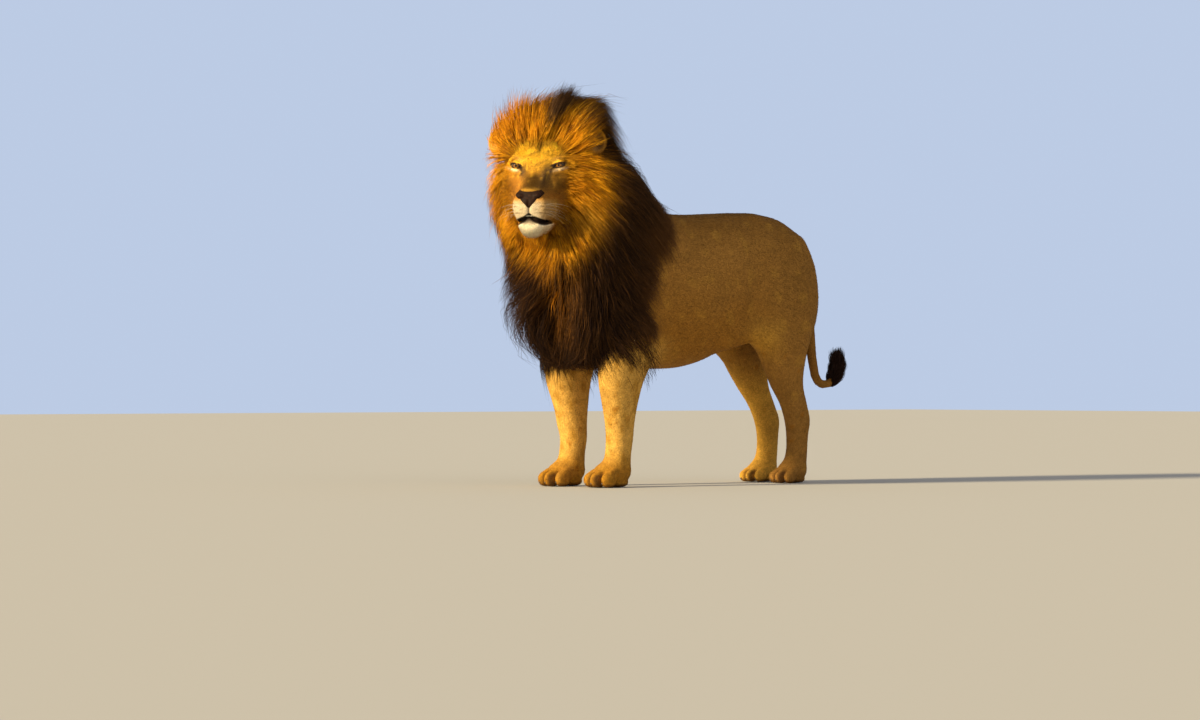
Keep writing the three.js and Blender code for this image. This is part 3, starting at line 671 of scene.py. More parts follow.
# %% Amber and dark hair
def amber_share(h):
    """1 in the ruff round the face, 0 beyond an ellipse round it and a hand's breadth behind it."""
    x, y, z = h.T
    tall = np.where(z > -0.07, 0.37, 0.272 + 0.055 * ramp(x, -0.02, 0.16))
    round_face = np.hypot(x / np.where(x > 0, 0.256, 0.262), (z + 0.07) / tall)
    back = ramp(y, 0.13, 0.21) * ramp(x, -0.06, 0.14) + ramp(y, 0.17, 0.26)
    return np.clip(1 - back - ramp(round_face, 0.90, 1.14), 0, 1)


def amber_hair(h, blur, fine):
    """Amber that deepens away from the face, with gold and brown hairs and gold along the brow."""
    x, y, z = h.T
    tone = fine + blur
    c = blend(all_over(AMBER, h), DEEP_AMBER, 0.32 + 0.38 * fine + 0.75 * blur + 0.5 * ramp(y, 0.06, 0.20))
    c = blend(c, BROWN * 1.2, 0.75 * ramp(tone, 0.45, 1.2))
    c = blend(c, GOLD * (1.35, 1.18, 0.35), 0.85 * ramp(-tone, 0.0, 0.8) * (1 - ramp(y, 0.08, 0.20)))
    c = blend(c, DEEP_AMBER * 1.05, 0.70 * spot(h, (0.145, 0, -0.085), (0.055, ALL, 0.065)))
    c = blend(c, GOLD * (1.1, 1.05, 0.6), 0.75 * spot(h, (0.190, 0, -0.195), (0.040, ALL, 0.050)))
    # Painted shade on the hair below and behind the left corner of the mouth.
    shade = spot(h, (0.100, 0, -0.215), (0.045, ALL, 0.050)) * (1 - ramp(y, 0.02, 0.10))
    c = blend(c, BROWN * (1.4, 1.25, 0.8), 0.95 * shade * ramp(tone, -1.4, 0.2))
    c = blend(c, DEEP_AMBER * 1.2, 0.55 * ramp(-x, 0.02, 0.07) * ramp(z, 0.08, 0.16))
    by_face = (1 - ramp(face_rim(h), 1.0, 1.45)) * ramp(z, -0.10, 0.02)
    return blend(c, GOLD * (1.15, 1.03, 0.35), 0.75 * by_face)


def dark_hair(q, h, blur, fine):
    """Black with brown hairs, browner at the nape and the rear edge and in the streak below the chin."""
    x, y, z = h.T
    tone = fine + blur
    streak = bell(x - 0.075, 0.060) * ramp(-z, 0.22, 0.30) * (1 - ramp(-z, 0.46, 0.68))
    streak = streak * (1 - ramp(y, 0.05, 0.22))
    edge = ramp(0.03 - x, 0, 0.06) * ramp(-z, 0.27, 0.35)
    c = blend(all_over(BLACK, h), BROWN, 0.34 + 0.55 * fine + 0.50 * blur + 1.5 * streak - 0.30 * edge)
    c = blend(c, BROWN * 1.2, 0.5 * spot(h, (0.22, 0, 0.04), (0.07, ALL, 0.09)))
    rear = 0.6 * ramp(q[:, 1] - mane_rear(q), -0.10, 0.02)
    c = blend(c, BROWN * (1.6, 1.5, 1.3), rear + 0.5 * ramp(fine, 0.45, 1.0))
    c = blend(c, DEEP_AMBER, streak * ramp(tone, -0.3, 1.1))
    side = spot(h, (0.26, 0, -0.19), (0.09, ALL, 0.12)) * ramp(tone, -0.8, 0.8)
    return blend(c, BROWN * (1.5, 1.5, 1.2), 0.75 * side)


def mane_colour(p, blur, fine):
    """Amber or dark for points of mane hair; blur shifts the border lock by lock, and fine hair by hair."""
    q = p - SHIFT
    h = to_head(q)
    x, _, z = h.T
    share = amber_share(h + blur[:, None] * np.array([0.03, 0.08, 0.06]))
    share = np.clip(share + 0.50 * fine * (4 * share * (1 - share) + 0.06), 0, 1)
    c = blend(dark_hair(q, h, blur, fine), amber_hair(h, blur, fine), share)
    parting = bell(x - 0.072 * ramp(z, 0.06, 0.27) - 0.004, 0.013 + 0.042 * ramp(z, 0.14, 0.26))
    c = blend(c, BROWN * 0.42, 0.97 * parting * ramp(z, 0.045, 0.085))
    return blend(c, BROWN, 0.5 * ramp(x + 0.5 * z, 0.19, 0.28) * ramp(z, 0.13, 0.20))


# %% [markdown]
# ## The face's colours
# A lion's face has a golden brow, a dusky bridge, black lids with pale fur below them, a white muzzle
# with rows of dark whisker spots, black lips and a white chin, and painted shade lies on its left side.
# Each marking and each patch of painted shade is a bell or a ramp in the head's own coordinates, laid
# over the ones before it, as a taxidermist would airbrush them in turn.

# %% Brow, cheeks and bridge
def bridge_share(m):
    """1 along the bridge of the nose, above the nose leather."""
    x, y, z = m.T
    return bell(x, 0.040) * ramp(-y, 0.028, 0.060) * ramp(z, -0.125, -0.075)


def brow_and_bridge(h, c):
    """Gold above the eyes, amber by the ruff, tawny cheeks, a dusky bridge that ends in a gold band, and
    painted shade left of the bridge and behind the left corner of the mouth.
    """
    m, y, z = mirrored(h), h[:, 1], h[:, 2]
    c = blend(c, GOLD * (1.50, 1.62, 0.75), bell(z - 0.060, 0.075) * ramp(0.12 - y, 0.0, 0.05))
    c = blend(c, AMBER * 0.85, 0.85 * ramp(face_rim(h), 0.70, 0.96) * (1 - 0.85 * ramp(z, -0.01, 0.05)))
    c = blend(c, TAWNY * (0.9, 0.75, 0.4), 0.75 * spot(m, (0.088, 0, -0.080), (0.034, ALL, 0.060)))
    # Painted shade behind the left corner of the mouth.
    c = blend(c, BROWN * (1.6, 1.4, 0.9), 0.8 * spot(h, (0.086, 0, -0.185), (0.022, ALL, 0.045)))
    c = blend(c, DUSK, 0.95 * bridge_share(m))
    c = blend(c, (0.085, 0.048, 0.022), 0.85 * spot(m, (0.044, 0, -0.024), (0.017, ALL, 0.026)))
    # Painted shade on the left side of the bridge.
    c = blend(c, (0.110, 0.066, 0.030), 0.85 * spot(h, (0.036, 0, -0.052), (0.020, ALL, 0.038)))
    band = spot(m, (0, 0, -0.088), (0.050, ALL, 0.007)) * ramp(-y, 0.08, 0.11)
    return blend(c, GOLD * 0.9, 0.7 * band)


# %% Muzzle and chin
WHISKER_ROWS = (-0.136, -0.147, -0.158, -0.169)  # heights of the rows of spots


def white_share(m):
    """1 on the white of the muzzle, fading up to the nose and back to the cheeks."""
    return ramp(-m[:, 2], 0.116, 0.142) * ramp(-m[:, 1], 0.020, 0.118)


def muzzle(h, c):
    """White pads with four rows of brown spots and faint whorls, painted shade on the left pad, and a white
    chin.
    """
    m = mirrored(h)
    x, y, z = m.T
    behind = ramp(-z, 0.110, 0.135) * ramp(-y, 0.010, 0.050) * ramp(z, -0.200, -0.180)
    c = blend(c, GOLD * (0.80, 0.80, 1.1), behind)
    # Less white on the left pad: painted shade on the side away from the light.
    c = blend(c, CREAM * 0.70, white_share(m) * (1 - 0.62 * ramp(h[:, 0], 0.026, 0.056)))
    chin = ramp(0.092 - x, 0, 0.03) * ramp(-z, 0.200, 0.213) * ramp(-y, -0.005, 0.040)
    c = blend(c, CREAM * (1.22, 1.30, 1.40), chin)
    level = z + 0.10 * (y + 0.12)
    rows = np.zeros(len(h))
    for k, height in enumerate(WHISKER_ROWS):
        along = (y + 0.128 + 0.0035 * (k % 2)) / 0.0105
        dots = bell((along - np.round(along)) * 0.0105, 0.0030) * bell(level - height, 0.0021)
        rows += dots * (x > 0.018) * (y < -0.050)
    c = blend(c, BROWN * 0.9, 0.85 * np.clip(rows, 0, 1))
    whorls = bell(np.sin(level / 0.0110 * np.pi + 0.5), 0.5) * bell(y + 0.078, 0.030)
    return blend(c, TAWNY * 0.8, 0.55 * whorls * ramp(-z, 0.125, 0.140) * ramp(z, -0.185, -0.172))


# %% Round the eyes
def round_the_eyes(h, c):
    """Black lids with a tear line at the inner corner, white below them and a pale stroke above."""
    u, w = eye_plane(h)
    front = ramp(0.055 - h[:, 1], 0.0, 0.02)
    almond = np.sqrt((u / 0.0205) ** 2 + (w / 0.0078) ** 2)
    c = blend(c, CREAM * (1.15, 1.08, 0.95), 1.1 * bell(w + 0.0155, 0.0048) * bell(u - 0.002, 0.021) * front)
    c = blend(c, CREAM * (0.9, 0.75, 0.50), 0.25 * bell(w - 0.024, 0.007) * bell(u, 0.018) * front)
    c = blend(c, DARK_SKIN, (1 - ramp(almond, 1.18, 1.58)) * front)
    tear = bell((u + 0.024) - 0.35 * (w + 0.004), 0.0055)
    tear = tear * ramp(-w, -0.010, 0.0) * ramp(0.034 + w, 0.0, 0.012)
    return blend(c, DARK_SKIN * 1.5, 0.9 * tear * front)


# %% Lips
def lips(h, c):
    """Black lips, a dark patch under their middle, and the line from the nose down to them."""
    m = mirrored(h)
    x, y, z = m.T
    off = z - lip_line(h)
    edge = ramp(np.abs(off + 0.002) - 0.0085 * (1 - 0.75 * ramp(y, -0.080, -0.028)), 0.0005, 0.0055)
    c = blend(c, DARK_SKIN, (1 - edge) * ramp(-0.024 - y, 0.0, 0.012))
    c = blend(c, DARK_SKIN * 1.6, 0.9 * bell(x, 0.018) * bell(off + 0.014, 0.0070) * ramp(-y, 0.06, 0.09))
    line = bell(x, 0.0028) * ramp(-z, 0.138, 0.150) * ramp(z, -0.190, -0.178) * ramp(-y, 0.10, 0.12)
    return blend(c, DARK_SKIN * 1.5, 0.85 * line)


# %% Speckles, and the whole face
def speckles(h, c):
    """Brown, gold and tawny mottles, the shadow under the left eye, and the stripe up the forehead."""
    m = mirrored(h)
    x, z = h[:, 0], h[:, 2]
    furred = 1 - white_share(m)
    c = blend(c, BROWN * 1.4, 0.55 * ramp(patches(h, 0.011, 31), 0.5, 1.4) * furred)
    gold = ramp(patches(h, 0.022, 32), 0.4, 1.4) * ramp(z, -0.12, 0.02)
    c = blend(c, GOLD * (1.5, 1.5, 0.8), 0.45 * gold * furred)
    c = blend(c, TAWNY * 0.7, 0.40 * ramp(patches(h, 0.030, 33), 0.3, 1.4) * furred)
    c = blend(c, DUSK, 0.75 * bridge_share(m) * (1 - 0.8 * bell(z + 0.088, 0.007)))
    under_eye = spot(h, (0.076, 0, -0.066), (0.036, ALL, 0.038)) * ramp(-0.020 - z, 0, 0.014)
    c = blend(c, (0.125, 0.070, 0.012), 0.66 * under_eye)
    stripe = bell(x - 0.004 - 0.02 * ramp(z, 0.07, 0.14), 0.006 + 0.012 * ramp(z, 0.03, 0.11))
    return blend(c, BROWN * 0.8, 0.85 * stripe * ramp(z, 0.020, 0.060))


def face_colour(h, c):
    """The short coat's colour c with all the markings of the face laid over it."""
    c = blend(c, TAWNY * (1.25, 1.05, 0.8), np.ones(len(h)))
    for lay_over in (brow_and_bridge, muzzle, round_the_eyes, lips, speckles):
        c = lay_over(h, c)
    return c


def ear_colour(h, n):
    """Amber ears with pale hair in the cup, painted shade in the left one's cup, and black behind."""
    c = all_over(AMBER * 0.80, h)
    c = blend(c, CREAM * (0.9, 0.75, 0.5), 0.7 * spot(mirrored(h), EAR_AT + (0.004, -0.004, -0.012), 0.026))
    # Painted shade in the cup of the left ear.
    c = blend(c, BROWN * 1.2, 0.95 * (h[:, 0] > 0) * spot(h, EAR_AT + (0.010, 0.000, -0.006), 0.034))
    return blend(c, BLACK, 0.9 * ramp(n @ HEAD_AXES[1], 0.2, 0.6) * ramp(h[:, 2], 0.05, 0.08))


# %% [markdown]
# ## The short coat's colours
# The back is browner and the belly and the insides of the legs more golden, the forelegs are pale with
# ochre paws, and the tail ends in black. Patches of several sizes break the tawny up, and a finer grain
# over all of it stands for the way that single hairs catch the light.

# %% Trunk, legs and feet
def trunk_colour(q, n):
    """Tawny, brown along the back, lighter below, gold at the groin, partly its paler coat and partly a
    painted highlight, and ochre low on the side.
    """
    y, z = q[:, 1], q[:, 2]
    c = blend(all_over(TAWNY, q), TOPLINE, 0.9 * ramp(n[:, 2], 0.25, 0.95) + 0.35 * ramp(z, 0.80, 1.0))
    c = blend(c, TAWNY * 1.1, 0.75 * ramp(-n[:, 2], 0.15, 0.85) * ramp(z, 0.30, 0.40))
    # Gold at the groin: partly the paler coat there and partly a painted highlight on the thigh's front.
    c = blend(c, GOLD, 0.8 * spot(q, (0, 0.24, 0.53), (ALL, 0.07, 0.07)))
    low = ramp(0.84 - z, 0, 0.32) * ramp(z, 0.38, 0.50) * ramp(0.42 - y, 0, 0.30)
    return blend(c, (0.240, 0.096, 0.008), 0.62 * low)


def leg_colour(q, n, c):
    """Pale forelegs with ochre paws and mottles, the far hind leg gold, a darker haunch and spine, and
    painted shade in the flank's hollow.
    """
    x, y, z = q.T
    fore = ramp(0.56 - z, 0, 0.10) * ramp(-y, 0.15, 0.25)
    c = blend(c, GOLD * (0.90, 0.95, 1.4), 0.85 * fore)
    c = blend(c, OCHRE, 0.88 * fore * ramp(0.15 - z, 0, 0.10))
    c = blend(c, (0.300, 0.140, 0.012), 0.60 * fore * ramp(patches(q * (1, 1, 0.7), 0.034, 8), 0.1, 1.3))
    hind = ramp(0.50 - z, 0, 0.20) * ramp(y, 0.25, 0.32)
    c = blend(c, TAWNY * (1.02, 1.0, 0.9), 0.8 * hind)
    c = blend(c, GOLD, 0.85 * hind * ramp(0.02 - x, 0, 0.06))
    c = blend(c, TAWNY * 0.64, 0.70 * spot(q, (0, 0.42, 0.74), (ALL, 0.17, 0.26)))
    c = blend(c, TAWNY * (0.72, 0.74, 0.85), 0.7 * hind * ramp(x, 0.02, 0.08))
    c = blend(c, TOPLINE * 0.55, 0.6 * ramp(n[:, 2], 0.80, 1.0) * ramp(z, 0.93, 0.98))
    # Painted shade in the hollow of the flank, in front of the thigh.
    return blend(c, TAWNY * 0.72, 0.35 * spot(q, (0, 0.19, 0.78), (ALL, 0.07, 0.16)))


def mottled(q, c):
    """Patches of darker and lighter coat from 16 cm to 3 cm long, a fine grain, and spots on the legs."""
    c = blend(c, TAWNY * 0.75, 0.4 * ramp(patches(q, 0.16, 3), 0.2, 1.4))
    c = blend(c, TAWNY * 0.72, 0.28 * ramp(patches(q, 0.030, 4), 0.7, 1.6))
    c = blend(c, GOLD * 0.9, 0.16 * ramp(patches(q, 0.07, 5), 0.4, 1.4))
    grain = 0.10 * patches(q * (1, 0.6, 1), 0.015, 12, 14) + 0.05 * patches(q, 0.034, 13)
    c = c * (1 + np.clip(grain, -0.25, 0.25))[:, None]
    spotted = ramp(patches(q, 0.045, 6), 1.1, 1.8) * ramp(0.62 - q[:, 2], 0, 0.15)
    return blend(c, DEEP_AMBER * 0.7, 0.45 * spotted)


def toe_gap_shade(q):
    """1 in the three gaps between the toes of each foot, where shade is painted."""
    gaps = np.zeros(len(q))
    for limb, ahead in ((FORE, True), (HIND, False)):
        for side in SIDES:
            here = ((q[:, 1] < 0) == ahead) & ((q[:, 0] > 0) == (side > 0))
            u = (np.abs(q[here, 0]) - limb.stance) / (0.041 * limb.size)
            front = ramp(limb.feet[side] - q[here, 1], 0.060, 0.085)
            gaps[here] = (bell(u, 0.13) + bell(np.abs(u) - 0.667, 0.13)) * front
    return gaps * ramp(0.058 - q[:, 2], 0, 0.02)


# %% The colour of any point of the coat
def coat_colour(p, n):
    """The short coat's colour at points of the skin with normals n, and the mane's where it grows."""
    q = p - SHIFT
    h, y, z = to_head(q), q[:, 1], q[:, 2]
    c = mottled(q, leg_colour(q, n, trunk_colour(q, n)))
    c = blend(c, TOPLINE * 0.8, 0.7 * ramp(y, 0.555, 0.59) * ramp(z, 0.33, 0.40))
    c = blend(c, BLACK, ramp(y, 0.700, 0.722))
    c = blend(c, BROWN, 0.8 * ramp(0.016 - z, 0, 0.010))
    # Painted shade in the gaps between the toes.
    c = blend(c, BROWN, 0.9 * toe_gap_shade(q))
    near = np.linalg.norm(q - EYES_AT, axis=1) < 0.45
    face, ears = face_colour(h[near], c[near]), ear_colour(h[near], n[near])
    c[near] = blend(face, ears, ramp(0.012 - ear(h[near]), 0, 0.010))
    zero = np.zeros(len(p))
    return blend(c, mane_colour(p, zero, zero) * 0.8, mane_ground(q, h))


skin_colours = coat_colour(skin_points, skin_normals)
print("skin colours from", skin_colours.min(0).round(3), "to", skin_colours.max(0).round(3))

# %% [markdown]
# ## Materials
# Each material is a small graph of nodes. The colours come from the mesh's own Coat attribute, and noise
# in the object's coordinates varies them and raises the fine grain of flat-lying fur as a bump. Image
# textures would need an unwrap and a painter. Hair is rougher than nose leather and much rougher than a
# wet eye.

# %% A material from attribute, noise and bump
def settings(node, **values):
    """Each value on the node's own socket of that name, with spaces for underscores."""
    for name, value in values.items():
        node.inputs[name.replace("_", " ")].default_value = value


def material(name, roughness, fine, amount, bump=0.0, stretch=(1, 1, 1), specular=0.5, coat=0.0, plain=None):
    """Colour = the Coat attribute times 1 +- amount of noise; bump from the same noise, stretched too."""
    m = bpy.data.materials.new(name)
    m.use_nodes = True
    nodes, links = m.node_tree.nodes, m.node_tree.links
    shader = nodes["Principled BSDF"]
    settings(shader, Roughness=roughness, Specular_IOR_Level=specular, Coat_Weight=coat, Coat_Roughness=0.03)
    place = nodes.new("ShaderNodeTexCoord")
    scale = nodes.new("ShaderNodeVectorMath")
    scale.operation = "MULTIPLY"
    scale.inputs[1].default_value = stretch
    links.new(place.outputs["Object"], scale.inputs[0])
    noise = nodes.new("ShaderNodeTexNoise")
    settings(noise, Scale=fine, Detail=3)
    links.new(scale.outputs["Vector"], noise.inputs["Vector"])
    spread = nodes.new("ShaderNodeMapRange")
    settings(spread, From_Min=0.3, From_Max=0.7, To_Min=1 - amount, To_Max=1 + amount)
    links.new(noise.outputs["Fac"], spread.inputs["Value"])
    shade = nodes.new("ShaderNodeVectorMath")
    shade.operation = "SCALE"
    if plain is None:
        colour = nodes.new("ShaderNodeAttribute")
        colour.attribute_name = "Coat"
        links.new(colour.outputs["Color"], shade.inputs[0])
    else:
        shade.inputs[0].default_value = plain
    links.new(spread.outputs["Result"], shade.inputs["Scale"])
    links.new(shade.outputs["Vector"], shader.inputs["Base Color"])
    if bump:
        raised = nodes.new("ShaderNodeBump")
        settings(raised, Strength=0.6, Distance=bump)
        links.new(noise.outputs["Fac"], raised.inputs["Height"])
        links.new(raised.outputs["Normal"], shader.inputs["Normal"])
    return m


SKIN = material("fur_ground", 0.75, 420, 0.30, bump=0.0016, stretch=(1, 0.45, 0.6), specular=0.05)
HAIR = material("mane_hair", 0.60, 90, 0.16, specular=0.08)
SHORT = material("short_hair", 0.70, 160, 0.16, specular=0.05)
LEATHER = material("nose_leather", 0.55, 700, 0.30, bump=0.0007, specular=0.09)
EYE = material("eye", 0.10, 500, 0.10, specular=0.25, coat=0.35)
CLAW = material("claw", 0.35, 200, 0.25, plain=(0.060, 0.042, 0.030))
TOOTH = material("tooth", 0.3, 150, 0.10, plain=(0.70, 0.62, 0.46))
WHISKER = material("whisker", 0.35, 150, 0.05, plain=(0.60, 0.54, 0.42))
print(len(bpy.data.materials), "materials")


# %% Handing arrays to Blender
def make_mesh(name, points, faces, material, colours=None, uv=None, slot=None):
    """One object from points and equal-sided faces, with a colour and a place in OFBake for each point."""
    mesh = bpy.data.meshes.new(name)
    count, sides = faces.shape
    mesh.vertices.add(len(points))
    mesh.vertices.foreach_set("co", np.ascontiguousarray(points, np.float32).ravel())
    mesh.loops.add(count * sides)
    mesh.loops.foreach_set("vertex_index", faces.astype(np.int32).ravel())
    mesh.polygons.add(count)
    mesh.polygons.foreach_set("loop_start", np.arange(0, count * sides, sides, dtype=np.int32))
    mesh.polygons.foreach_set("use_smooth", np.ones(count, bool))
    if colours is not None:
        rgba = np.concatenate([np.clip(colours, 0, 1), np.ones((len(points), 1))], 1)
        layer = mesh.color_attributes.new("Coat", "FLOAT_COLOR", "POINT")
        layer.data.foreach_set("color", rgba.astype(np.float32).ravel())
    if uv is not None:
        layer = mesh.uv_layers.new(name="OFBake")
        layer.data.foreach_set("uv", uv[faces.ravel()].astype(np.float32).ravel())
    mesh.update()
    mesh.materials.append(material)
    obj = bpy.data.objects.new(name, mesh)
    bpy.context.scene.collection.objects.link(obj)
    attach(obj, "root")
    return obj


skin = make_mesh("skin", skin_points, skin_quads, SKIN, skin_colours, slot="coat")
FLESH = sorted(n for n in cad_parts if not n.startswith("eye") and n != "nose")
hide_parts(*FLESH)
print("the skin stands for", len(FLESH), "nodes and has", 2 * len(skin_quads), "triangles")

# %% [markdown]
# ## Slivers of hair
# Hair is modelled as tapered slivers with three sides, thousands to a mesh. Real curves or particle hair
# would be quicker to comb but would not be geometry that another program can use. A long lock's sliver
# has three rings and a point, a short tuft's has one ring and a point. Each carries a little patch of the
# OFBake map at its root's place on a cylinder unwrapped round the body, so a baker finds its colour.

# %% Sowing roots
def sow(count, weight):
    """Roots spread over the skin in proportion to area times weight, one in each equal share of it."""
    share = np.cumsum(quad_area * quad_shown * weight)
    pick = np.searchsorted(share / share[-1], (np.arange(count) + RNG.random(count)) / count)
    corners = skin_quads[np.minimum(pick, len(skin_quads) - 1)]
    a, b = RNG.random((2, count, 1))

    def inside(values):
        """The value at a place inside the quad, from its four corners."""
        v = values[corners]
        return (v[:, 0] * (1 - a) + v[:, 1] * a) * (1 - b) + (v[:, 3] * (1 - a) + v[:, 2] * a) * b
    return inside(skin_points), unit(inside(skin_normals))


def across(direction, normal):
    """direction without its part along the normal, at unit length."""
    return unit(direction - (direction * normal).sum(1, keepdims=True) * normal)


# %% Slivers from paths
PATCH = 0.0015  # half the side of a sliver's patch in OFBake


def slivers(paths, widths, ups, colours, roots_uv, flat=0.55):
    """Three-sided tubes along paths (n, rings + 1, 3): the last point is the tip, the root is closed.

    A ring is w (cos a side + flat sin a up) at three angles a, a third of a turn apart."""
    n, k = paths.shape[0], paths.shape[1] - 1
    along = unit(np.gradient(paths, axis=1))
    side = unit(np.cross(along, ups[:, None, :]))
    up = np.cross(side, along)
    angle = np.array([np.pi / 2, np.pi * 7 / 6, np.pi * 11 / 6])
    turned = np.cos(angle)[:, None] * side[:, :k, None] + flat * np.sin(angle)[:, None] * up[:, :k, None]
    ring = paths[:, :k, None] + widths[:, :k, None, None] * turned
    points = np.concatenate([ring.reshape(n, 3 * k, 3), paths[:, k:]], 1)
    points[..., 2] = np.maximum(points[..., 2], 0.0004)
    faces = [(0, 2, 1)]
    for j in range(0, 3 * k - 3, 3):
        for i in range(3):
            a, b = j + i, j + (i + 1) % 3
            faces += [(a, b, b + 3), (a, b + 3, a + 3)]
    faces += [(3 * k - 3 + i, 3 * k - 3 + (i + 1) % 3, 3 * k) for i in range(3)]
    faces = np.array(faces)[None] + (np.arange(n) * (3 * k + 1))[:, None, None]
    colour = np.concatenate([np.repeat(colours[:, :k], 3, axis=1), colours[:, k:]], 1)
    s = np.append(np.repeat(np.arange(k) / k, 3), 1.0) - 0.5
    t = np.append(np.tile([0.0, -1.0, 1.0], k), 0.0)
    uv = roots_uv[:, None, :] + PATCH * np.stack([t, 2 * s], 1)[None]
    return points.reshape(-1, 3), faces.reshape(-1, 3), colour.reshape(-1, 3), uv.reshape(-1, 2)


def unwrapped(p, axis, middle):
    """Angle round an axis and place along it, each stretched over 0.01 to 0.99."""
    axis = np.asarray(axis, float) / np.linalg.norm(axis)
    e1 = np.cross(axis, (0.31, 0.2, 0.93))
    e1 /= np.linalg.norm(e1)
    e2, q = np.cross(axis, e1), p - np.asarray(middle)
    angle = np.arctan2(q @ e2, q @ e1) / (2 * np.pi) % 1.0
    uv = np.stack([angle, q @ axis], 1)
    low, high = uv.min(0), uv.max(0)
    return 0.01 + 0.98 * (uv - low) / np.maximum(high - low, 1e-6)


def lay_piece(name, made, unwrap, slot="mane", material=HAIR):
    """One mesh of slivers, with their patches on a cylinder given by its axis and middle."""
    paths, widths, ups, colours, roots = made
    points, faces, colour, uv = slivers(paths, widths, ups, colours, unwrapped(roots, *unwrap))
    print(name, len(paths), "slivers,", len(faces), "triangles")
    return make_mesh(name, points, faces, material, colour, uv, slot)


FACE_UNWRAP = HEAD_AXES[1], from_head(np.array([0, 0, -0.05]))
NECK_UNWRAP = (0.05, -0.62, 0.55), (0, -0.40, 0.80)

# %% [markdown]
# ## Combing the mane
# The hair of the crown stands up and leans back, blown to the lion's left. Beside the face it sweeps out,
# back and down; from the throat it falls as a beard; on the neck and shoulders it lies back and down, and
# the chest's hair hangs to between the forelegs. One formula gives that direction everywhere.

# %% The lie of the mane
WIND = np.array([0.643, 0.766, 0.0])


def mane_lie(p):
    """Direction of the hair: away from the face near it, back and down on the neck, down on the chest."""
    q = p - SHIFT
    h = to_head(q)
    x, y, z = h[:, :1], h[:, 1:2], h[:, 2:]
    up, high = ramp(z, 0.0, 0.12), ramp(z, 0.09, 0.24)
    ring = (unit(h * (1, 0, 1) + (0, 0, 0.05)) + (0, 0.45, 0)) @ HEAD_AXES
    ring = ring + (1 - up) * (0, 0, -0.75) + up * (0.25 * WIND + (0, 0, 0.15))
    ring += high * (0.10 + 0.48 * bell(x - 0.07, 0.09)) * WIND
    ring += 0.55 * ramp(x, 0.08, 0.15) * ramp(y, 0.12, 0.18) * ramp(z, -0.05, 0.03) * WIND
    out = np.clip(q[:, :1] / 0.10, -1, 1) * (1, 0, 0)
    front = ramp(-q[:, 1:2], 0.42, 0.60)
    neck = (out * 0.35 + (0, 0.62, -0.72)) * (1 - front) + (out * 0.07 + (0, -0.10, -1)) * front
    near = (1 - ramp(y, 0.13, 0.30)) * (1 - ramp(-z, 0.24, 0.42))
    return unit(ring * near + neck * (1 - near))


def comb(roots, normals, length, own_layer, steps=8):
    """Paths of locks: each step goes along the lie and up or down to the lock's own layer."""
    p = roots - normals * 0.004
    path, stride = [p], length / steps
    for k in range(1, steps + 1):
        s = k / steps
        state = MANE.at(p)
        normal = unit(state[:, 2:])
        along = across(mane_lie(p), normal)
        wanted = own_layer * (1 - (1 - s) ** 2.2)
        rise = (wanted - state[:, 0]) * state[:, 1] / stride
        rise = np.clip(rise, -0.45 * (1.2 - s), 2.2) * (1.0 if s < 0.6 else 0.6)
        p = p + stride[:, None] * unit(along + rise[:, None] * normal)
        path.append(p)
    return np.stack(path, 1)


# %% [markdown]
# ## Locks of many hairs
# Mane hair clumps: hairs that start a centimetre apart lean together towards a shared tip. Combing every
# hair alone would be slow and would look like felt. So each lock is combed once, and its hairs follow
# that path from roots of their own, gather on it, and stray a little. A few stray far and break the
# outline. Hair that would pass in front of an ear stops short of it.

# %% Hairs round combed paths
SPREAD, GATHER, WAVE = 0.010, 0.72, 0.0030  # width of a clump, how far it closes, and the hair's wave
RINGS = np.array([0.0, 0.36, 0.70, 1.0])
WIDEST = 0.266  # how far the path of a lock's hair may go from the middle plane


def along_path(path, s):
    """Points at the shares s of each path, straight between its steps and on past its end."""
    steps = path.shape[1] - 1
    t = np.clip(s, 0, 0.999) * steps
    i = t.astype(int)
    f = (t - i)[..., None]
    rows = np.arange(len(path))[:, None]
    past = np.maximum(s - 0.999, 0)[..., None] * (path[:, -1:] - path[:, -2:-1]) * steps
    return path[rows, i] * (1 - f) + path[rows, i + 1] * f + past


def held_in(paths, limit):
    """The paths, pushed back where they pass the mane's outside by more than the limit allows."""
    state = MANE.at(paths.reshape(-1, 3)).reshape(*paths.shape[:2], 5)
    over = np.maximum(state[..., :1] - limit, 0) * state[..., 1:2]
    paths = paths - 0.85 * over * state[..., 2:]
    paths[..., 0] *= np.minimum(1, WIDEST / np.maximum(np.abs(paths[..., 0]), 0.1))
    return paths


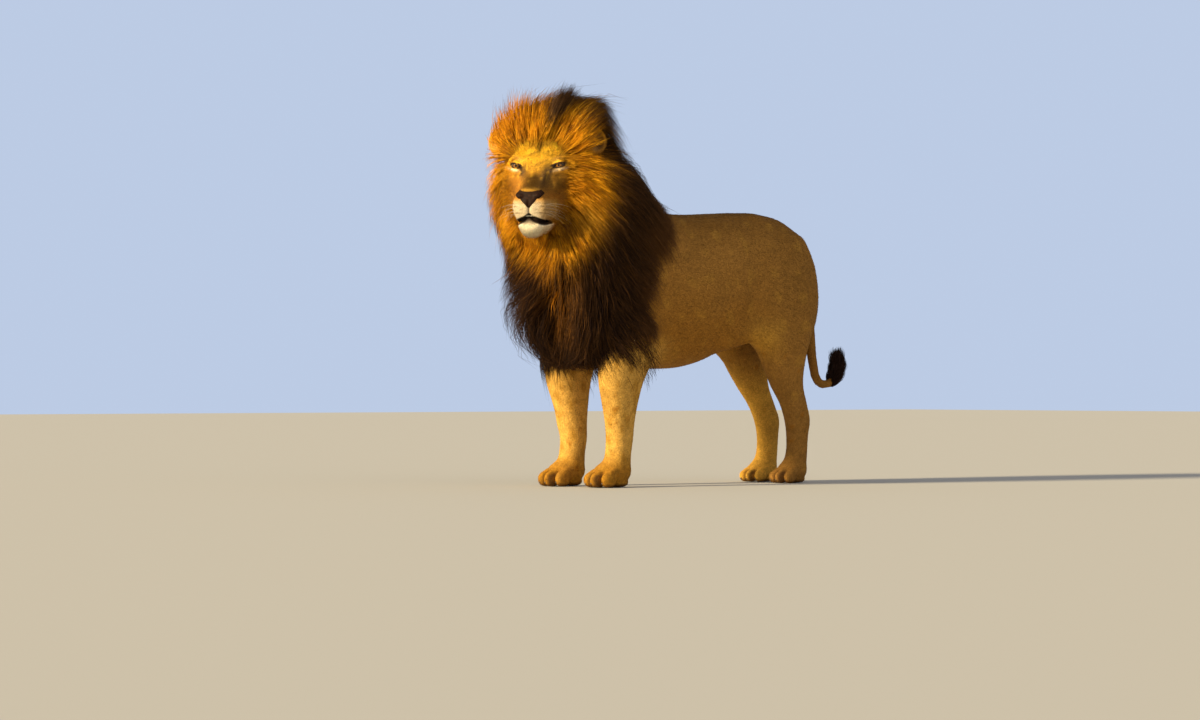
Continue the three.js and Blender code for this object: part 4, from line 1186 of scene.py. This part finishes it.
def locks(count, weight, length, width, hairs, top=(0.35, 1.0), stray=0.05, vary=(0.62, 1.28), limit=1.08):
    """Clumped locks: one combed path each, and hairs round it that gather towards its tip."""
    roots, normals = sow(count, weight)
    size = length(roots) * RNG.uniform(*vary, count)
    own_layer = top[0] + (top[1] - top[0]) * RNG.random(count) ** 0.6
    path = comb(roots, normals, size, own_layer)
    steps = path.shape[1] - 1
    by_ear = ear(to_head(path.reshape(-1, 3) - SHIFT)).reshape(count, steps + 1) < 0.011
    by_ear[:, :3] = False
    cut = np.where(by_ear.any(1), np.maximum(by_ear.argmax(1), 3) / steps, 1.0)
    blur = RNG.normal(0, 0.45, count)
    e1 = across(mane_lie(roots), normals)
    tame = ramp(np.abs(roots[:, 0]), 0.08, 0.14)
    path, normals, cut, size, blur, e1, tame, roots = (
        np.repeat(a, hairs, 0) for a in (path, normals, cut, size, blur, e1, tame, roots))
    n = len(path)
    offset = RNG.normal(0, SPREAD, (n, 2))
    offset = offset[:, :1] * e1 + offset[:, 1:] * np.cross(normals, e1)
    s = RINGS[None] * (RNG.uniform(0.72, 1.06, n) * cut)[:, None]
    wild, s3, long = RNG.random(n) ** 14 * (1 - tame), s[..., None], size[:, None, None]
    swing = np.clip(RNG.normal(0, 1, (n, 1, 3)), -1.8, 1.8) * (stray + 0.09 * wild)[:, None, None] * long
    phase = RNG.random((n, 1, 1)) * 6.28
    sway = unit(RNG.normal(0, 1, (n, 1, 3))) * WAVE * np.sin(phase + s3 * long * 70) * s3
    paths = along_path(path, s) + offset[:, None, :] * (1 - GATHER * s3 ** 1.3) + swing * s3 ** 1.5 + sway
    paths = held_in(paths, limit + 0.25 * wild[:, None, None])
    widths = width * RNG.uniform(0.7, 1.25, (n, 1)) * np.array([[0.9, 1.0, 0.75, 0.0]])
    widths = widths * (0.55 + 0.45 * np.minimum(size / 0.16, 1.15))[:, None]
    fine = np.repeat(RNG.normal(0, 0.45, n), 4)
    colours = mane_colour(paths.reshape(-1, 3), np.repeat(blur, 4), fine).reshape(n, 4, 3)
    # Painted shade deep in the mane: each hair darkens towards its root, to 0.55 of its colour, and is
    # lighter at its tip.
    return paths, widths, normals, colours * np.array([0.55, 0.90, 1.08, 1.18])[:, None], roots


# %% Length of the mane
def mane_length(p):
    """Up to 21 cm on crown and neck and 30 on the chest, shorter at the face, the ears and the edges."""
    q = p - SHIFT
    h, z = to_head(q), q[:, 2]
    long = 0.215 + 0.090 * ramp(-q[:, 1], 0.42, 0.55) * ramp(0.92 - z, 0, 0.2)
    long = long * (0.17 + 0.83 * ramp(face_rim(h), 0.96, 1.42))
    long = long * (0.35 + 0.65 * ramp(ear(h), 0.008, 0.050))
    hem = 0.388 + 0.30 * np.abs(q[:, 0]) - 0.026 * patches(q * (1, 1, 0), 0.040, 61, 6)
    long = np.minimum(long, 0.02 + 1.02 * np.maximum(z - hem, 0.03) + 0.4 * ramp(z, 0.72, 0.85))
    return np.minimum(long, 0.055 + 1.15 * np.maximum(mane_rear(q) - q[:, 1], 0))


def crown_length(p):
    """A quarter more than the mane's, and more again in the middle."""
    return (1.25 + 0.40 * bell(to_head(p - SHIFT)[:, 0] - 0.012, 0.036)) * mane_length(p)


# %% [markdown]
# ## Parts of the mane
# The mane is laid in seven pieces, so that each stays small enough to handle: crown, ruff and neck on
# both sides, and the chest. Each piece has a weight over the skin, which says where its roots are sown
# and how densely, and a look of its own.

# %% Where the mane's parts grow
middle_q = quad_middle - SHIFT
middle_h = to_head(middle_q)
qx, qy, qz = middle_q.T
hx, hy, hz = middle_h.T
in_mane = mane_ground(middle_q, middle_h)
crown_part = in_mane * (hz > 0.045) * (hy < 0.21)
ruff_part = in_mane * (crown_part == 0) * (hy < 0.20) * (hz > -0.26)
rest = in_mane * (crown_part == 0) * (ruff_part == 0)
chest_part = rest * (qy < -0.46) * (qz < 0.86)
neck_part = rest * (chest_part == 0) * (1 + 1.2 * spot(middle_h, (0.13, 0, 0.05), (0.06, ALL, 0.09)))
neck_middle = qx - 0.02 * (qy < -0.5)
crown_part = crown_part * (1 + 1.4 * bell(hx - 0.012, 0.036) + 0.9 * ramp(-hx, 0.03, 0.08))
bib = 1 + 1.5 * ramp(-qx, 0.03, 0.10) + 0.8 * bell(qx - 0.02, 0.05)
chest_part = chest_part * (1 + 1.5 * ramp(0.75 - qz, 0, 0.1)) * bib
print("the mane grows on", round((quad_area * quad_shown * in_mane).sum(), 3), "square metres")

# %% The mane's seven pieces
CROWN_LOOK = dict(length=crown_length, width=0.00118, hairs=12,
                  top=(0.70, 1.06), vary=(0.85, 1.12), limit=1.12)
RUFF_LOOK = dict(length=mane_length, width=0.00085, hairs=12)
CHEST_LOOK = dict(length=mane_length, width=0.0011, hairs=10, top=(0.55, 1.08), stray=0.07, limit=1.15)
NECK_LOOK = dict(length=mane_length, width=0.0011, hairs=10, stray=0.12, limit=1.32)
for name, count, weight, look, unwrap in (
        ("mane_crown_left", 640, crown_part * (hx > 0), CROWN_LOOK, FACE_UNWRAP),
        ("mane_crown_right", 600, crown_part * (hx <= 0), CROWN_LOOK, FACE_UNWRAP),
        ("mane_ruff_left", 850, ruff_part * (hx > 0), RUFF_LOOK, FACE_UNWRAP),
        ("mane_ruff_right", 820, ruff_part * (hx <= 0), RUFF_LOOK, FACE_UNWRAP),
        ("mane_chest", 1000, chest_part, CHEST_LOOK, NECK_UNWRAP),
        ("mane_neck_left", 920, neck_part * (neck_middle > 0), NECK_LOOK, NECK_UNWRAP),
        ("mane_neck_right", 860, neck_part * (neck_middle < 0), NECK_LOOK, NECK_UNWRAP)):
    lay_piece(name, locks(count, weight, **look), unwrap)

# %% [markdown]
# ## The short coat
# Elsewhere the coat lies flat and is a centimetre deep or less. The skin's bump gives its grain, and short
# tufts over it break the outline and catch the light. They are longest where the face meets the ruff
# and under the chin, and shortest round the eyes and the nose. Each leans a little away from the body.

# %% The lie of the short coat
NOSE_TIP = (0, -0.150, -0.105)


def coat_lie(p):
    """Back on the trunk, down the legs, ahead on the paws, along the tail, and away from the nose."""
    q = p - SHIFT
    h, y, z = to_head(q), q[:, 1], q[:, 2]
    limb = ramp(0.52 - z, 0, 0.16)[:, None]
    trunk = all_over([0, 1.0, -0.38], q) - (0, 0, 0.5) * ramp(y, 0.25, 0.5)[:, None]
    d = trunk * (1 - limb) + np.array([0, 0.12, -1.0]) * limb
    foot = ramp(0.085 - z, 0, 0.03)[:, None]
    d = d * (1 - foot) + np.array([0, -0.9, -0.45]) * foot
    tail = (y > 0.585) & (z < 0.86)
    gaps = np.linalg.norm(q[tail][:, None] - (TAIL[:-1, :3] + TAIL[1:, :3]) / 2, axis=2)
    d[tail] = unit(np.diff(TAIL[:, :3], axis=0))[gaps.argmin(1)]
    near = np.linalg.norm(q - EYES_AT, axis=1) < 0.30
    h = h[near]
    away = unit(h - NOSE_TIP + (0, 0.02, 0))
    away[:, 2] -= 0.5 * ramp(np.abs(h[:, 0]), 0.06, 0.11) * ramp(0.02 - h[:, 2], 0, 0.06)
    tip = unit(mirrored(h) - EAR_AT + (0, 0, 0.03))
    tip[:, 0] *= np.sign(h[:, 0])
    on_ear = ramp(0.010 - ear(h), 0, 0.008)[:, None]
    d[near] = (away * (1 - on_ear) + tip * on_ear) @ HEAD_AXES
    return d


def tufts(count, weight, length, width, lift=0.12, sway=0.16, vary=0.09):
    """Short tufts: slivers with one ring, rooted in the skin, the tip raised by lift times their length."""
    roots, normals = sow(count, weight)
    size = (length(roots) * RNG.uniform(0.7, 1.25, count))[:, None]
    along = across(coat_lie(roots), normals)
    side = np.cross(normals, along)
    along = unit(along + sway * RNG.normal(0, 1, (count, 1)) * side
                 + 0.10 * side * patches(roots, 0.09, 21)[:, None])
    rise = (lift + 8 * np.maximum(size - 0.012, 0)) * RNG.uniform(0.5, 1.5, (count, 1))
    path = np.stack([roots - normals * 0.0008, roots + along * size + normals * size * rise], 1)
    widths = (width(roots) * RNG.uniform(0.7, 1.25, count))[:, None] * np.array([[1.0, 0.0]])
    colour = coat_colour(roots + along * 0.3 * size, normals)
    tone = (1 + vary * RNG.normal(0, 1, (count, 1, 1))) * np.array([0.92, 1.12])[None, :, None]
    return path, widths, normals, colour[:, None, :] * np.clip(tone, 0.4, 1.7), roots


def even(value):
    """A length or a width that is the same at every root."""
    return lambda p: np.full(len(p), value)


# %% Where the short coat grows
on_head = np.linalg.norm(middle_q - EYES_AT, axis=1)
on_nose = (hy < -0.095) & (hz > -0.152) & (hz < -0.094) & (
    np.abs(hx) < np.minimum(0.050, 0.010 + 0.95 * (hz + 0.152)))
on_lids = (np.hypot((np.abs(hx) - EYE_AT[0]) / 0.026, (hz - EYE_AT[2]) / 0.012) < 1) & (hy < 0.03)
lip_half = 0.0125 * (1 - 0.6 * ramp(hy, -0.080, -0.028))
on_lips = (np.abs(hz - lip_line(middle_h) + 0.001) < lip_half) & (hy < -0.024)
in_mouth = (skull(middle_h) < -0.004) & (hy < -0.02)
face_zone = bare_face(middle_h) * (on_head < 0.32) * ~on_lids * ~on_lips * ~on_nose * ~in_mouth
ear_zone = (ear(middle_h) < 0.012) * 1.0
body_zone = (1 - in_mane) * (face_zone == 0) * (ear_zone == 0) * (on_head > 0.30)
low_zone, trunk_zone = body_zone * (qz < 0.44), body_zone * (qz >= 0.44)


def face_length(p):
    """4 mm near the nose, less round the eyes, a centimetre on the cheeks and more by ruff and chin."""
    h = to_head(p - SHIFT)
    size = 0.0040 + 0.007 * ramp(np.linalg.norm(h * (1, 1, 0.8) - (0, -0.12, -0.07), axis=1), 0.05, 0.16)
    size = size + 0.022 * ramp(face_rim(h), 0.78, 1.05) * ramp(h[:, 2], -0.215, -0.170)
    size = size + 0.012 * ramp(-h[:, 2], 0.216, 0.245)
    return size * (1 - 0.45 * bell(np.hypot(np.abs(h[:, 0]) - EYE_AT[0], h[:, 2]), 0.03))


def face_width(p):
    """0.3 mm, and more where the tufts are longer."""
    return 0.00030 + 0.024 * face_length(p)


# %% The short coat's five pieces
TRUNK_LOOK = dict(length=even(0.014), width=even(0.0009), lift=0.06, sway=0.14, vary=0.13)
LEG_LOOK = dict(length=even(0.010), width=even(0.0008), lift=0.10)
FACE_LOOK = dict(length=face_length, width=face_width, lift=0.14, vary=0.15)
EAR_LOOK = dict(length=even(0.011), width=even(0.0006), lift=0.30, sway=0.3)
UPRIGHT = (0, 0, 1)
for name, count, weight, look, unwrap in (
        ("coat_trunk_left", 19000, trunk_zone * (qx > 0), TRUNK_LOOK, ((0, 1, 0), (0, 0, 0.74))),
        ("coat_trunk_right", 17000, trunk_zone * (qx <= 0), TRUNK_LOOK, ((0, 1, 0), (0, 0, 0.74))),
        ("coat_legs", 18000, low_zone, LEG_LOOK, (UPRIGHT, (0, 0, 0))),
        ("coat_face", 40000, face_zone, FACE_LOOK, FACE_UNWRAP),
        ("coat_ears", 6000, ear_zone, EAR_LOOK, (UPRIGHT, from_head(np.array([0, 0.15, 0.08]))))):
    lay_piece(name, tufts(count, weight, **look), unwrap, "coat", SHORT)

# %% [markdown]
# ## Crest, tassel and elbows
# Three places have hair that goes its own way: the dark crest that the wind lifts off the crown, the
# tassel at the tail's end, and the fringe behind the elbows. They need no layers to lie in, so each hair
# only springs from the skin and bends to one direction, and its tip turns in again.

# %% Hair that springs and bends
def wisps(count, weight, length, width, lie, stray, colour, rise=0.35):
    """Four-ringed slivers whose steps go along the lie and out by rise (1.6 - 3 s), s from root to tip."""
    roots, normals = sow(count, weight)
    size = (length * RNG.uniform(0.6, 1.2, count))[:, None]
    along = unit(lie(roots) + stray * RNG.normal(0, 1, (count, 3)))
    path, p, s = [roots - normals * 0.002], roots, np.array([0.0, 0.3, 0.6, 0.82, 1.0])
    for a, b in zip(s[:-1], s[1:]):
        p = p + size * (b - a) * unit(along + normals * rise * (1.6 - 3.0 * a))
        path.append(p)
    widths = width * RNG.uniform(0.7, 1.2, (count, 1)) * np.array([[0.8, 1.0, 0.85, 0.5, 0.0]])
    tone = (1 + 0.25 * RNG.normal(0, 1, (count, 1, 1))) * np.array([0.8, 1, 1, 1.1, 1.2])[None, :, None]
    colours = np.broadcast_to(colour, (5, 3))[None] * np.clip(tone, 0.3, 2)
    return np.stack(path, 1), widths, normals, colours, roots


def crest_lie(p):
    """Up, and half as far down the wind."""
    return all_over(0.50 * WIND + (0, 0, 1), p)


def tassel_lie(p):
    """Along the tail and up."""
    return coat_lie(p) * 0.6 + (0.0, 0.0, 0.75)


def elbow_lie(p):
    """Down, and a little back and out."""
    return all_over([0.1, 0.25, -1.0], p)


CREST = np.array([AMBER * 0.55, AMBER * 0.75, BROWN * 0.75, BROWN * 0.45, BROWN * 0.42])  # root to tip
crest_zone = in_mane * bell(hx - 0.008, 0.017) * bell(hy - 0.090, 0.045) * (hz > 0.05)
tassel_zone = ramp(qy, 0.700, 0.716) * (qz < 0.5)
elbow_zone = spot(mirrored(middle_q), (0.14, -0.36, 0.47), (0.06, 0.05, 0.05))
for name, made, unwrap in (
        ("mane_crest", (1000, crest_zone, 0.190, 0.0015, crest_lie, 0.085, CREST, 0.10), FACE_UNWRAP),
        ("tail_tassel", (2700, tassel_zone, 0.052, 0.0015, tassel_lie, 0.16, BLACK * 1.3, 0.55),
         (UPRIGHT, (0.018, 0.77, 0.4))),
        ("elbow_fringe", (400, elbow_zone, 0.062, 0.0009, elbow_lie, 0.20, BROWN * 0.5),
         (UPRIGHT, (0, -0.4, 0.4)))):
    lay_piece(name, wisps(*made), unwrap)

# %% [markdown]
# ## Eyes
# A lion's eyes are amber with a round pupil, deep under a pale brow. Each ball is a sphere whose rings lie
# round the line of sight, so iris and pupil are bands of rings, and it bulges a little there as a cornea
# does. A ready-made sphere would do too, but it would have to be turned and could not bulge so simply.

# %% Eyeballs
def ball(centre, radius, look, rings=40, sides=48):
    """A sphere of rings round the direction look, its radius times 1 + 0.05 exp(-(tilt / 0.45)^4)."""
    look = look / np.linalg.norm(look)
    e1 = np.cross(look, (0, 0, 1.0))
    e1 /= np.linalg.norm(e1)
    e2 = np.cross(look, e1)
    t = np.linspace(0, np.pi, rings + 1)[1:-1, None, None]
    a = np.arange(sides)[:, None] * 2 * np.pi / sides
    bulge = 1 + 0.05 * np.exp(-(t / 0.45) ** 4)
    body = bulge * (np.cos(t) * look + np.sin(t) * (np.cos(a) * e1 + np.sin(a) * e2))
    points = np.concatenate([[look * 1.05], body.reshape(-1, 3), [-look]]) * radius + centre
    i, j = np.meshgrid(np.arange(rings - 2), np.arange(sides), indexing="ij")
    k = (j + 1) % sides
    near, far = 1 + i * sides, 1 + (i + 1) * sides
    tris = [np.stack([near + j, far + j, far + k], -1), np.stack([near + j, far + k, near + k], -1)]
    last, j, k = 1 + (rings - 2) * sides, j[:1], k[:1]
    tris += [np.stack([0 * j, 1 + j, 1 + k], -1), np.stack([0 * j + len(points) - 1, last + k, last + j], -1)]
    tris = np.concatenate([t.reshape(-1, 3) for t in tris])
    tilt = np.arccos(np.clip(unit(points - centre) @ look, -1, 1))
    turn = np.arctan2((points - centre) @ e2, (points - centre) @ e1)
    return points, tris, tilt, turn


IRIS, PUPIL = 0.62, 0.23  # their edges, as angles from the line of sight


def eye_colour(points, centre, tilt, turn):
    """Amber fibres by sin(19 turn + 2 sin(7 turn)), a paler ring, the lid's shade above and a dark rim."""
    fibre = 0.5 + 0.5 * np.sin(turn * 19 + 2 * np.sin(turn * 7))
    iris = blend(all_over([0.26, 0.105, 0.015], points), (0.095, 0.036, 0.007), 0.6 * fibre)
    iris = blend(iris, (0.24, 0.11, 0.02), 0.5 * bell(tilt - 0.32, 0.10))
    shade = ramp((points - centre) @ HEAD_AXES[2], -0.001, 0.005)
    iris = blend(iris, (0.030, 0.014, 0.006), 0.75 * shade)
    c = np.where((tilt < IRIS)[:, None], iris, all_over([0.10, 0.068, 0.048], points))
    return blend(c, (0.010, 0.007, 0.006), bell(tilt - 0.64, 0.08) + (tilt < PUPIL))


LOOK = np.array([0.05, -1, -0.02]) @ HEAD_AXES
for side, name in ((1, "left"), (-1, "right")):
    centre = from_head(EYE_AT * (side, 1, 1))
    points, tris, tilt, turn = ball(centre, EYE_RADIUS, LOOK)
    eye = make_mesh("eyeball_" + name, points, tris, EYE, eye_colour(points, centre, tilt, turn), slot="eye")
    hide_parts("eye_" + name)
    volume = np.linalg.det(points[tris] - centre).sum() / 6
    print("the", name, "eye holds", round(volume * 1e6, 2), "cubic centimetres")

# %% [markdown]
# ## Nose
# The nose leather is a bare and pebbled shield with a groove down its middle and a comma-shaped nostril
# on each side. It follows the muzzle's own field a few millimetres further out, so it fits without a gap,
# and outline, groove and nostrils are cut into that field. Sculpting would need the same cuts by hand.

# %% Nose leather
NOSE_OUTLINE = np.array([[-0.154, 0.002], [-0.146, 0.007], [-0.134, 0.018], [-0.122, 0.030],
                         [-0.112, 0.041], [-0.104, 0.048], [-0.097, 0.048], [-0.090, 0.040]])  # height, half
NOSTRIL = [(0.012, -0.148, -0.127), (0.021, -0.146, -0.124), (0.032, -0.136, -0.121)]


def nose_distance(p):
    """The muzzle's field raised by 3.5 mm and cut to the outline, with wings, two nostrils and a groove."""
    h = to_head(p - SHIFT)
    m = mirrored(h)
    x, y, z = m.T
    half = through(z, NOSE_OUTLINE[:, 0], NOSE_OUTLINE[:, 1:])[:, 0]
    rim = np.maximum((x - half) * 0.75, np.maximum(z + 0.0945 - 5 * x * x, -0.150 - z))
    rim = np.maximum(rim, y + 0.098)
    wing = lump(m, (0.031, -0.126, -0.110), (0.016, 0.014, 0.010), 0.4)
    d = soft_max(skull(h) - 0.0035, rim, 0.004)
    d = soft_min(d, soft_max(wing, rim - 0.002, 0.004), 0.006)
    d = soft_max(d, -chain(m, NOSTRIL, (0.0050, 0.0055, 0.0030)), 0.003)
    groove = np.maximum(np.hypot(x, (y + 0.151) / 2.2) - 0.0022, -0.150 - z)
    return soft_max(d, -groove, 0.003)


nose_axes = [spaced(*span) for span in (
    ((-0.05, 0.05), (0.0013,)), ((-0.165, -0.088), (0.0014,)), ((-0.162, -0.078), (0.0013,)))]
nose_points, nose_quads = net(nose_distance, nose_axes, from_head)
nose_h = to_head(nose_points - SHIFT)
nose_colour = all_over([0.016, 0.006, 0.003], nose_h)
nose_colour = blend(nose_colour, (0.034, 0.013, 0.006), 0.7 * ramp(patches(nose_h, 0.012, 9), 0.3, 1.4))
in_nostril = ramp(0.003 - chain(mirrored(nose_h), NOSTRIL, (0.0052, 0.0058, 0.0034)), 0, 0.003)
nose_colour = blend(nose_colour, (0.008, 0.005, 0.004), in_nostril)
nose = make_mesh("nose_pad", nose_points, nose_quads, LEATHER, nose_colour, slot="nose_leather")
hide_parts("nose")
print("the nose has", len(nose_quads), "quads")

# %% [markdown]
# ## Teeth, claws and whiskers
# All three are hard, pointed and slightly curved, so one function of curved cones makes them. The teeth
# show as two short rows behind the lips. A standing lion's claws are drawn in, so only their points show
# at the toes. The whiskers stand in four rows on each pad and sweep back.

# %% Curved cones
def cones(bases, tips, radii, bends, rings=5, sides=8):
    """Cones closed at the base: at s their middle is base + (tip - base) s + 4 s (1 - s) bend.

    The radius there is r (1 - s^1.6)."""
    count = len(bases)
    s = np.linspace(0, 1, rings + 1)[:, None]
    line = bases[:, None] + (tips - bases)[:, None] * s + bends[:, None] * (4 * s * (1 - s))
    along = unit(np.gradient(line, axis=1))
    e1 = unit(np.cross(along, (0.3, 0.1, 0.95)))
    e2 = np.cross(along, e1)
    a = np.arange(sides)[:, None] * 2 * np.pi / sides
    w = np.broadcast_to(radii, count)[:, None, None, None] * (1 - s[:-1, None] ** 1.6)
    ring = line[:, :-1, None] + w * (np.cos(a) * e1[:, :-1, None] + np.sin(a) * e2[:, :-1, None])
    points = np.concatenate([ring.reshape(count, -1, 3), line[:, -1:], line[:, :1]], 1)
    j = np.arange(sides)
    k, faces = (j + 1) % sides, []
    for q in range(0, (rings - 1) * sides, sides):
        on = q + sides
        faces += [np.stack([q + j, q + k, on + k], 1), np.stack([q + j, on + k, on + j], 1)]
    q, tip = (rings - 1) * sides, rings * sides
    faces += [np.stack([q + j, q + k, 0 * j + tip], 1), np.stack([k, j, 0 * j + tip + 1], 1)]
    faces = np.concatenate(faces)[None] + (np.arange(count) * (tip + 2))[:, None, None]
    return points.reshape(-1, 3), faces.reshape(-1, 3)


# %% Teeth
place = np.linspace(-0.0125, 0.0125, 6)
arch = 12 * place ** 2
upper = np.stack([place, arch - 0.121, 0 * place - 0.1755], 1)
lower = np.stack([place * 0.85, arch - 0.112, 0 * place - 0.204], 1)
bases = from_head(np.concatenate([upper, lower]))
tips = from_head(np.concatenate([upper - (0, 0, 0.0065), lower + (0, 0, 0.0050)]))
make_mesh("teeth", *cones(bases, tips, 0.0025, 0 * bases), TOOTH)
print(len(bases), "teeth")

# %% Claws
bases, tips = [], []
for limb in (FORE, HIND):
    for side in SIDES:
        for c in (np.arange(4) - 1.5) / 1.5:
            x = side * limb.stance + c * 0.042 * limb.size
            y = limb.feet[side] - (0.122 - 0.024 * c * c) * limb.size
            bases.append(np.array([x, y, 0.017 * limb.size]))
            tips.append(bases[-1] + (c * 0.002, -0.0075 * limb.size, -0.0085 * limb.size))
bases, tips = np.array(bases) + SHIFT, np.array(tips) + SHIFT
make_mesh("claws", *cones(bases, tips, 0.0029, all_over([0, -0.002, 0.003], bases)), CLAW)
print(len(bases), "claws")

# %% Whiskers
bases, tips, bends = [], [], []
for side in SIDES:
    for k, height in enumerate((-0.138, -0.149, -0.160, -0.170)):
        for j in range(3):
            base = np.array([side * (0.044 + 0.006 * j), -0.122 + 0.0160 * j + 0.004 * (k % 2), height])
            reach = RNG.uniform(0.05, 0.10)
            out = np.array([[side * 1.0, 0.25 + 0.18 * j, -0.12 - 0.10 * k]])
            out = unit(out + RNG.normal(0, 0.10, (1, 3)))[0]
            bases.append(base)
            tips.append(base + out * reach + (0, 0.25 * reach, -0.18 * reach))
            bends.append(np.array([side * 0.10, -0.10, 0.08]) * reach)
bases, tips, bends = from_head(np.array(bases)), from_head(np.array(tips)), np.array(bends) @ HEAD_AXES
thickness = RNG.uniform(0.00016, 0.00028, len(bases))
make_mesh("whiskers", *cones(bases, tips, thickness, bends, rings=6, sides=4), WHISKER)
print(len(bases), "whiskers")

# %% [markdown]
# ## Camera and light
# The camera stands 12 m away with a long lens, as one would near a lion, which keeps the near paw and the
# far one of a size. A low, warm sun in front and slightly to the lion's right is the key light, a broad
# weak one fills the shadows, and the world gives a soft sky. Only the camera sees its brighter backdrop.

# %% Camera
TOWARDS = np.array([0.766, -0.643, 0])
RIGHT = np.array([0.643, 0.766, 0])
LENS_PIXELS = 3288  # the lens, in pixels of a picture 1200 wide
camera = bpy.data.objects.new("camera", bpy.data.cameras.new("camera"))
bpy.context.scene.collection.objects.link(camera)
camera.data.sensor_width = 36
camera.data.lens = 98.63
camera.location = Vector(12 * TOWARDS + SHIFT + (0, 0, 0.352))
aim = -TOWARDS - RIGHT * 84 / LENS_PIXELS + np.array([0, 0, 28 / LENS_PIXELS])
camera.rotation_euler = Vector(aim).to_track_quat("-Z", "Y").to_euler()
bpy.context.scene.camera = camera


# %% Light, world and floor
def sunlight(name, energy, colour, size, azimuth, height):
    """A sun lamp from an azimuth, measured from -Y towards +X, and a height, all angles in degrees."""
    a, e = np.radians(azimuth), np.radians(height)
    lamp = bpy.data.objects.new(name, bpy.data.lights.new(name, "SUN"))
    lamp.data.energy, lamp.data.color, lamp.data.angle = energy, colour, np.radians(size)
    source = Vector((np.sin(a) * np.cos(e), -np.cos(a) * np.cos(e), np.sin(e)))
    lamp.rotation_euler = source.to_track_quat("Z", "Y").to_euler()
    bpy.context.scene.collection.objects.link(lamp)


sunlight("key", 7.6, (1.0, 0.82, 0.50), 8, -7, 21)
sunlight("fill", 0.45, (1.0, 0.84, 0.62), 60, 75, 30)
world = bpy.data.worlds.new("studio")
world.use_nodes = True
nodes, links = world.node_tree.nodes, world.node_tree.links
soft = nodes["Background"]
settings(soft, Color=(0.78, 0.80, 0.84, 1), Strength=0.46)
backdrop = nodes.new("ShaderNodeBackground")
settings(backdrop, Color=(0.53, 0.63, 0.82, 1), Strength=0.95)
ray, choose = nodes.new("ShaderNodeLightPath"), nodes.new("ShaderNodeMixShader")
links.new(ray.outputs["Is Camera Ray"], choose.inputs["Fac"])
links.new(soft.outputs["Background"], choose.inputs[1])
links.new(backdrop.outputs["Background"], choose.inputs[2])
links.new(choose.outputs["Shader"], nodes["World Output"].inputs["Surface"])
bpy.context.scene.world = world
bpy.context.scene.view_settings.view_transform = "Standard"

floor_mesh = bpy.data.meshes.new("floor")
floor_mesh.from_pydata([(-30, -30, 0), (30, -30, 0), (30, 30, 0), (-30, 30, 0)], [], [(0, 1, 2, 3)])
floor = bpy.data.objects.new("floor", floor_mesh)
bpy.context.scene.collection.objects.link(floor)
paper = bpy.data.materials.new("paper")
paper.use_nodes = True
settings(paper.node_tree.nodes["Principled BSDF"], Base_Color=(0.46, 0.452, 0.438, 1), Roughness=0.9)
floor_mesh.materials.append(paper)
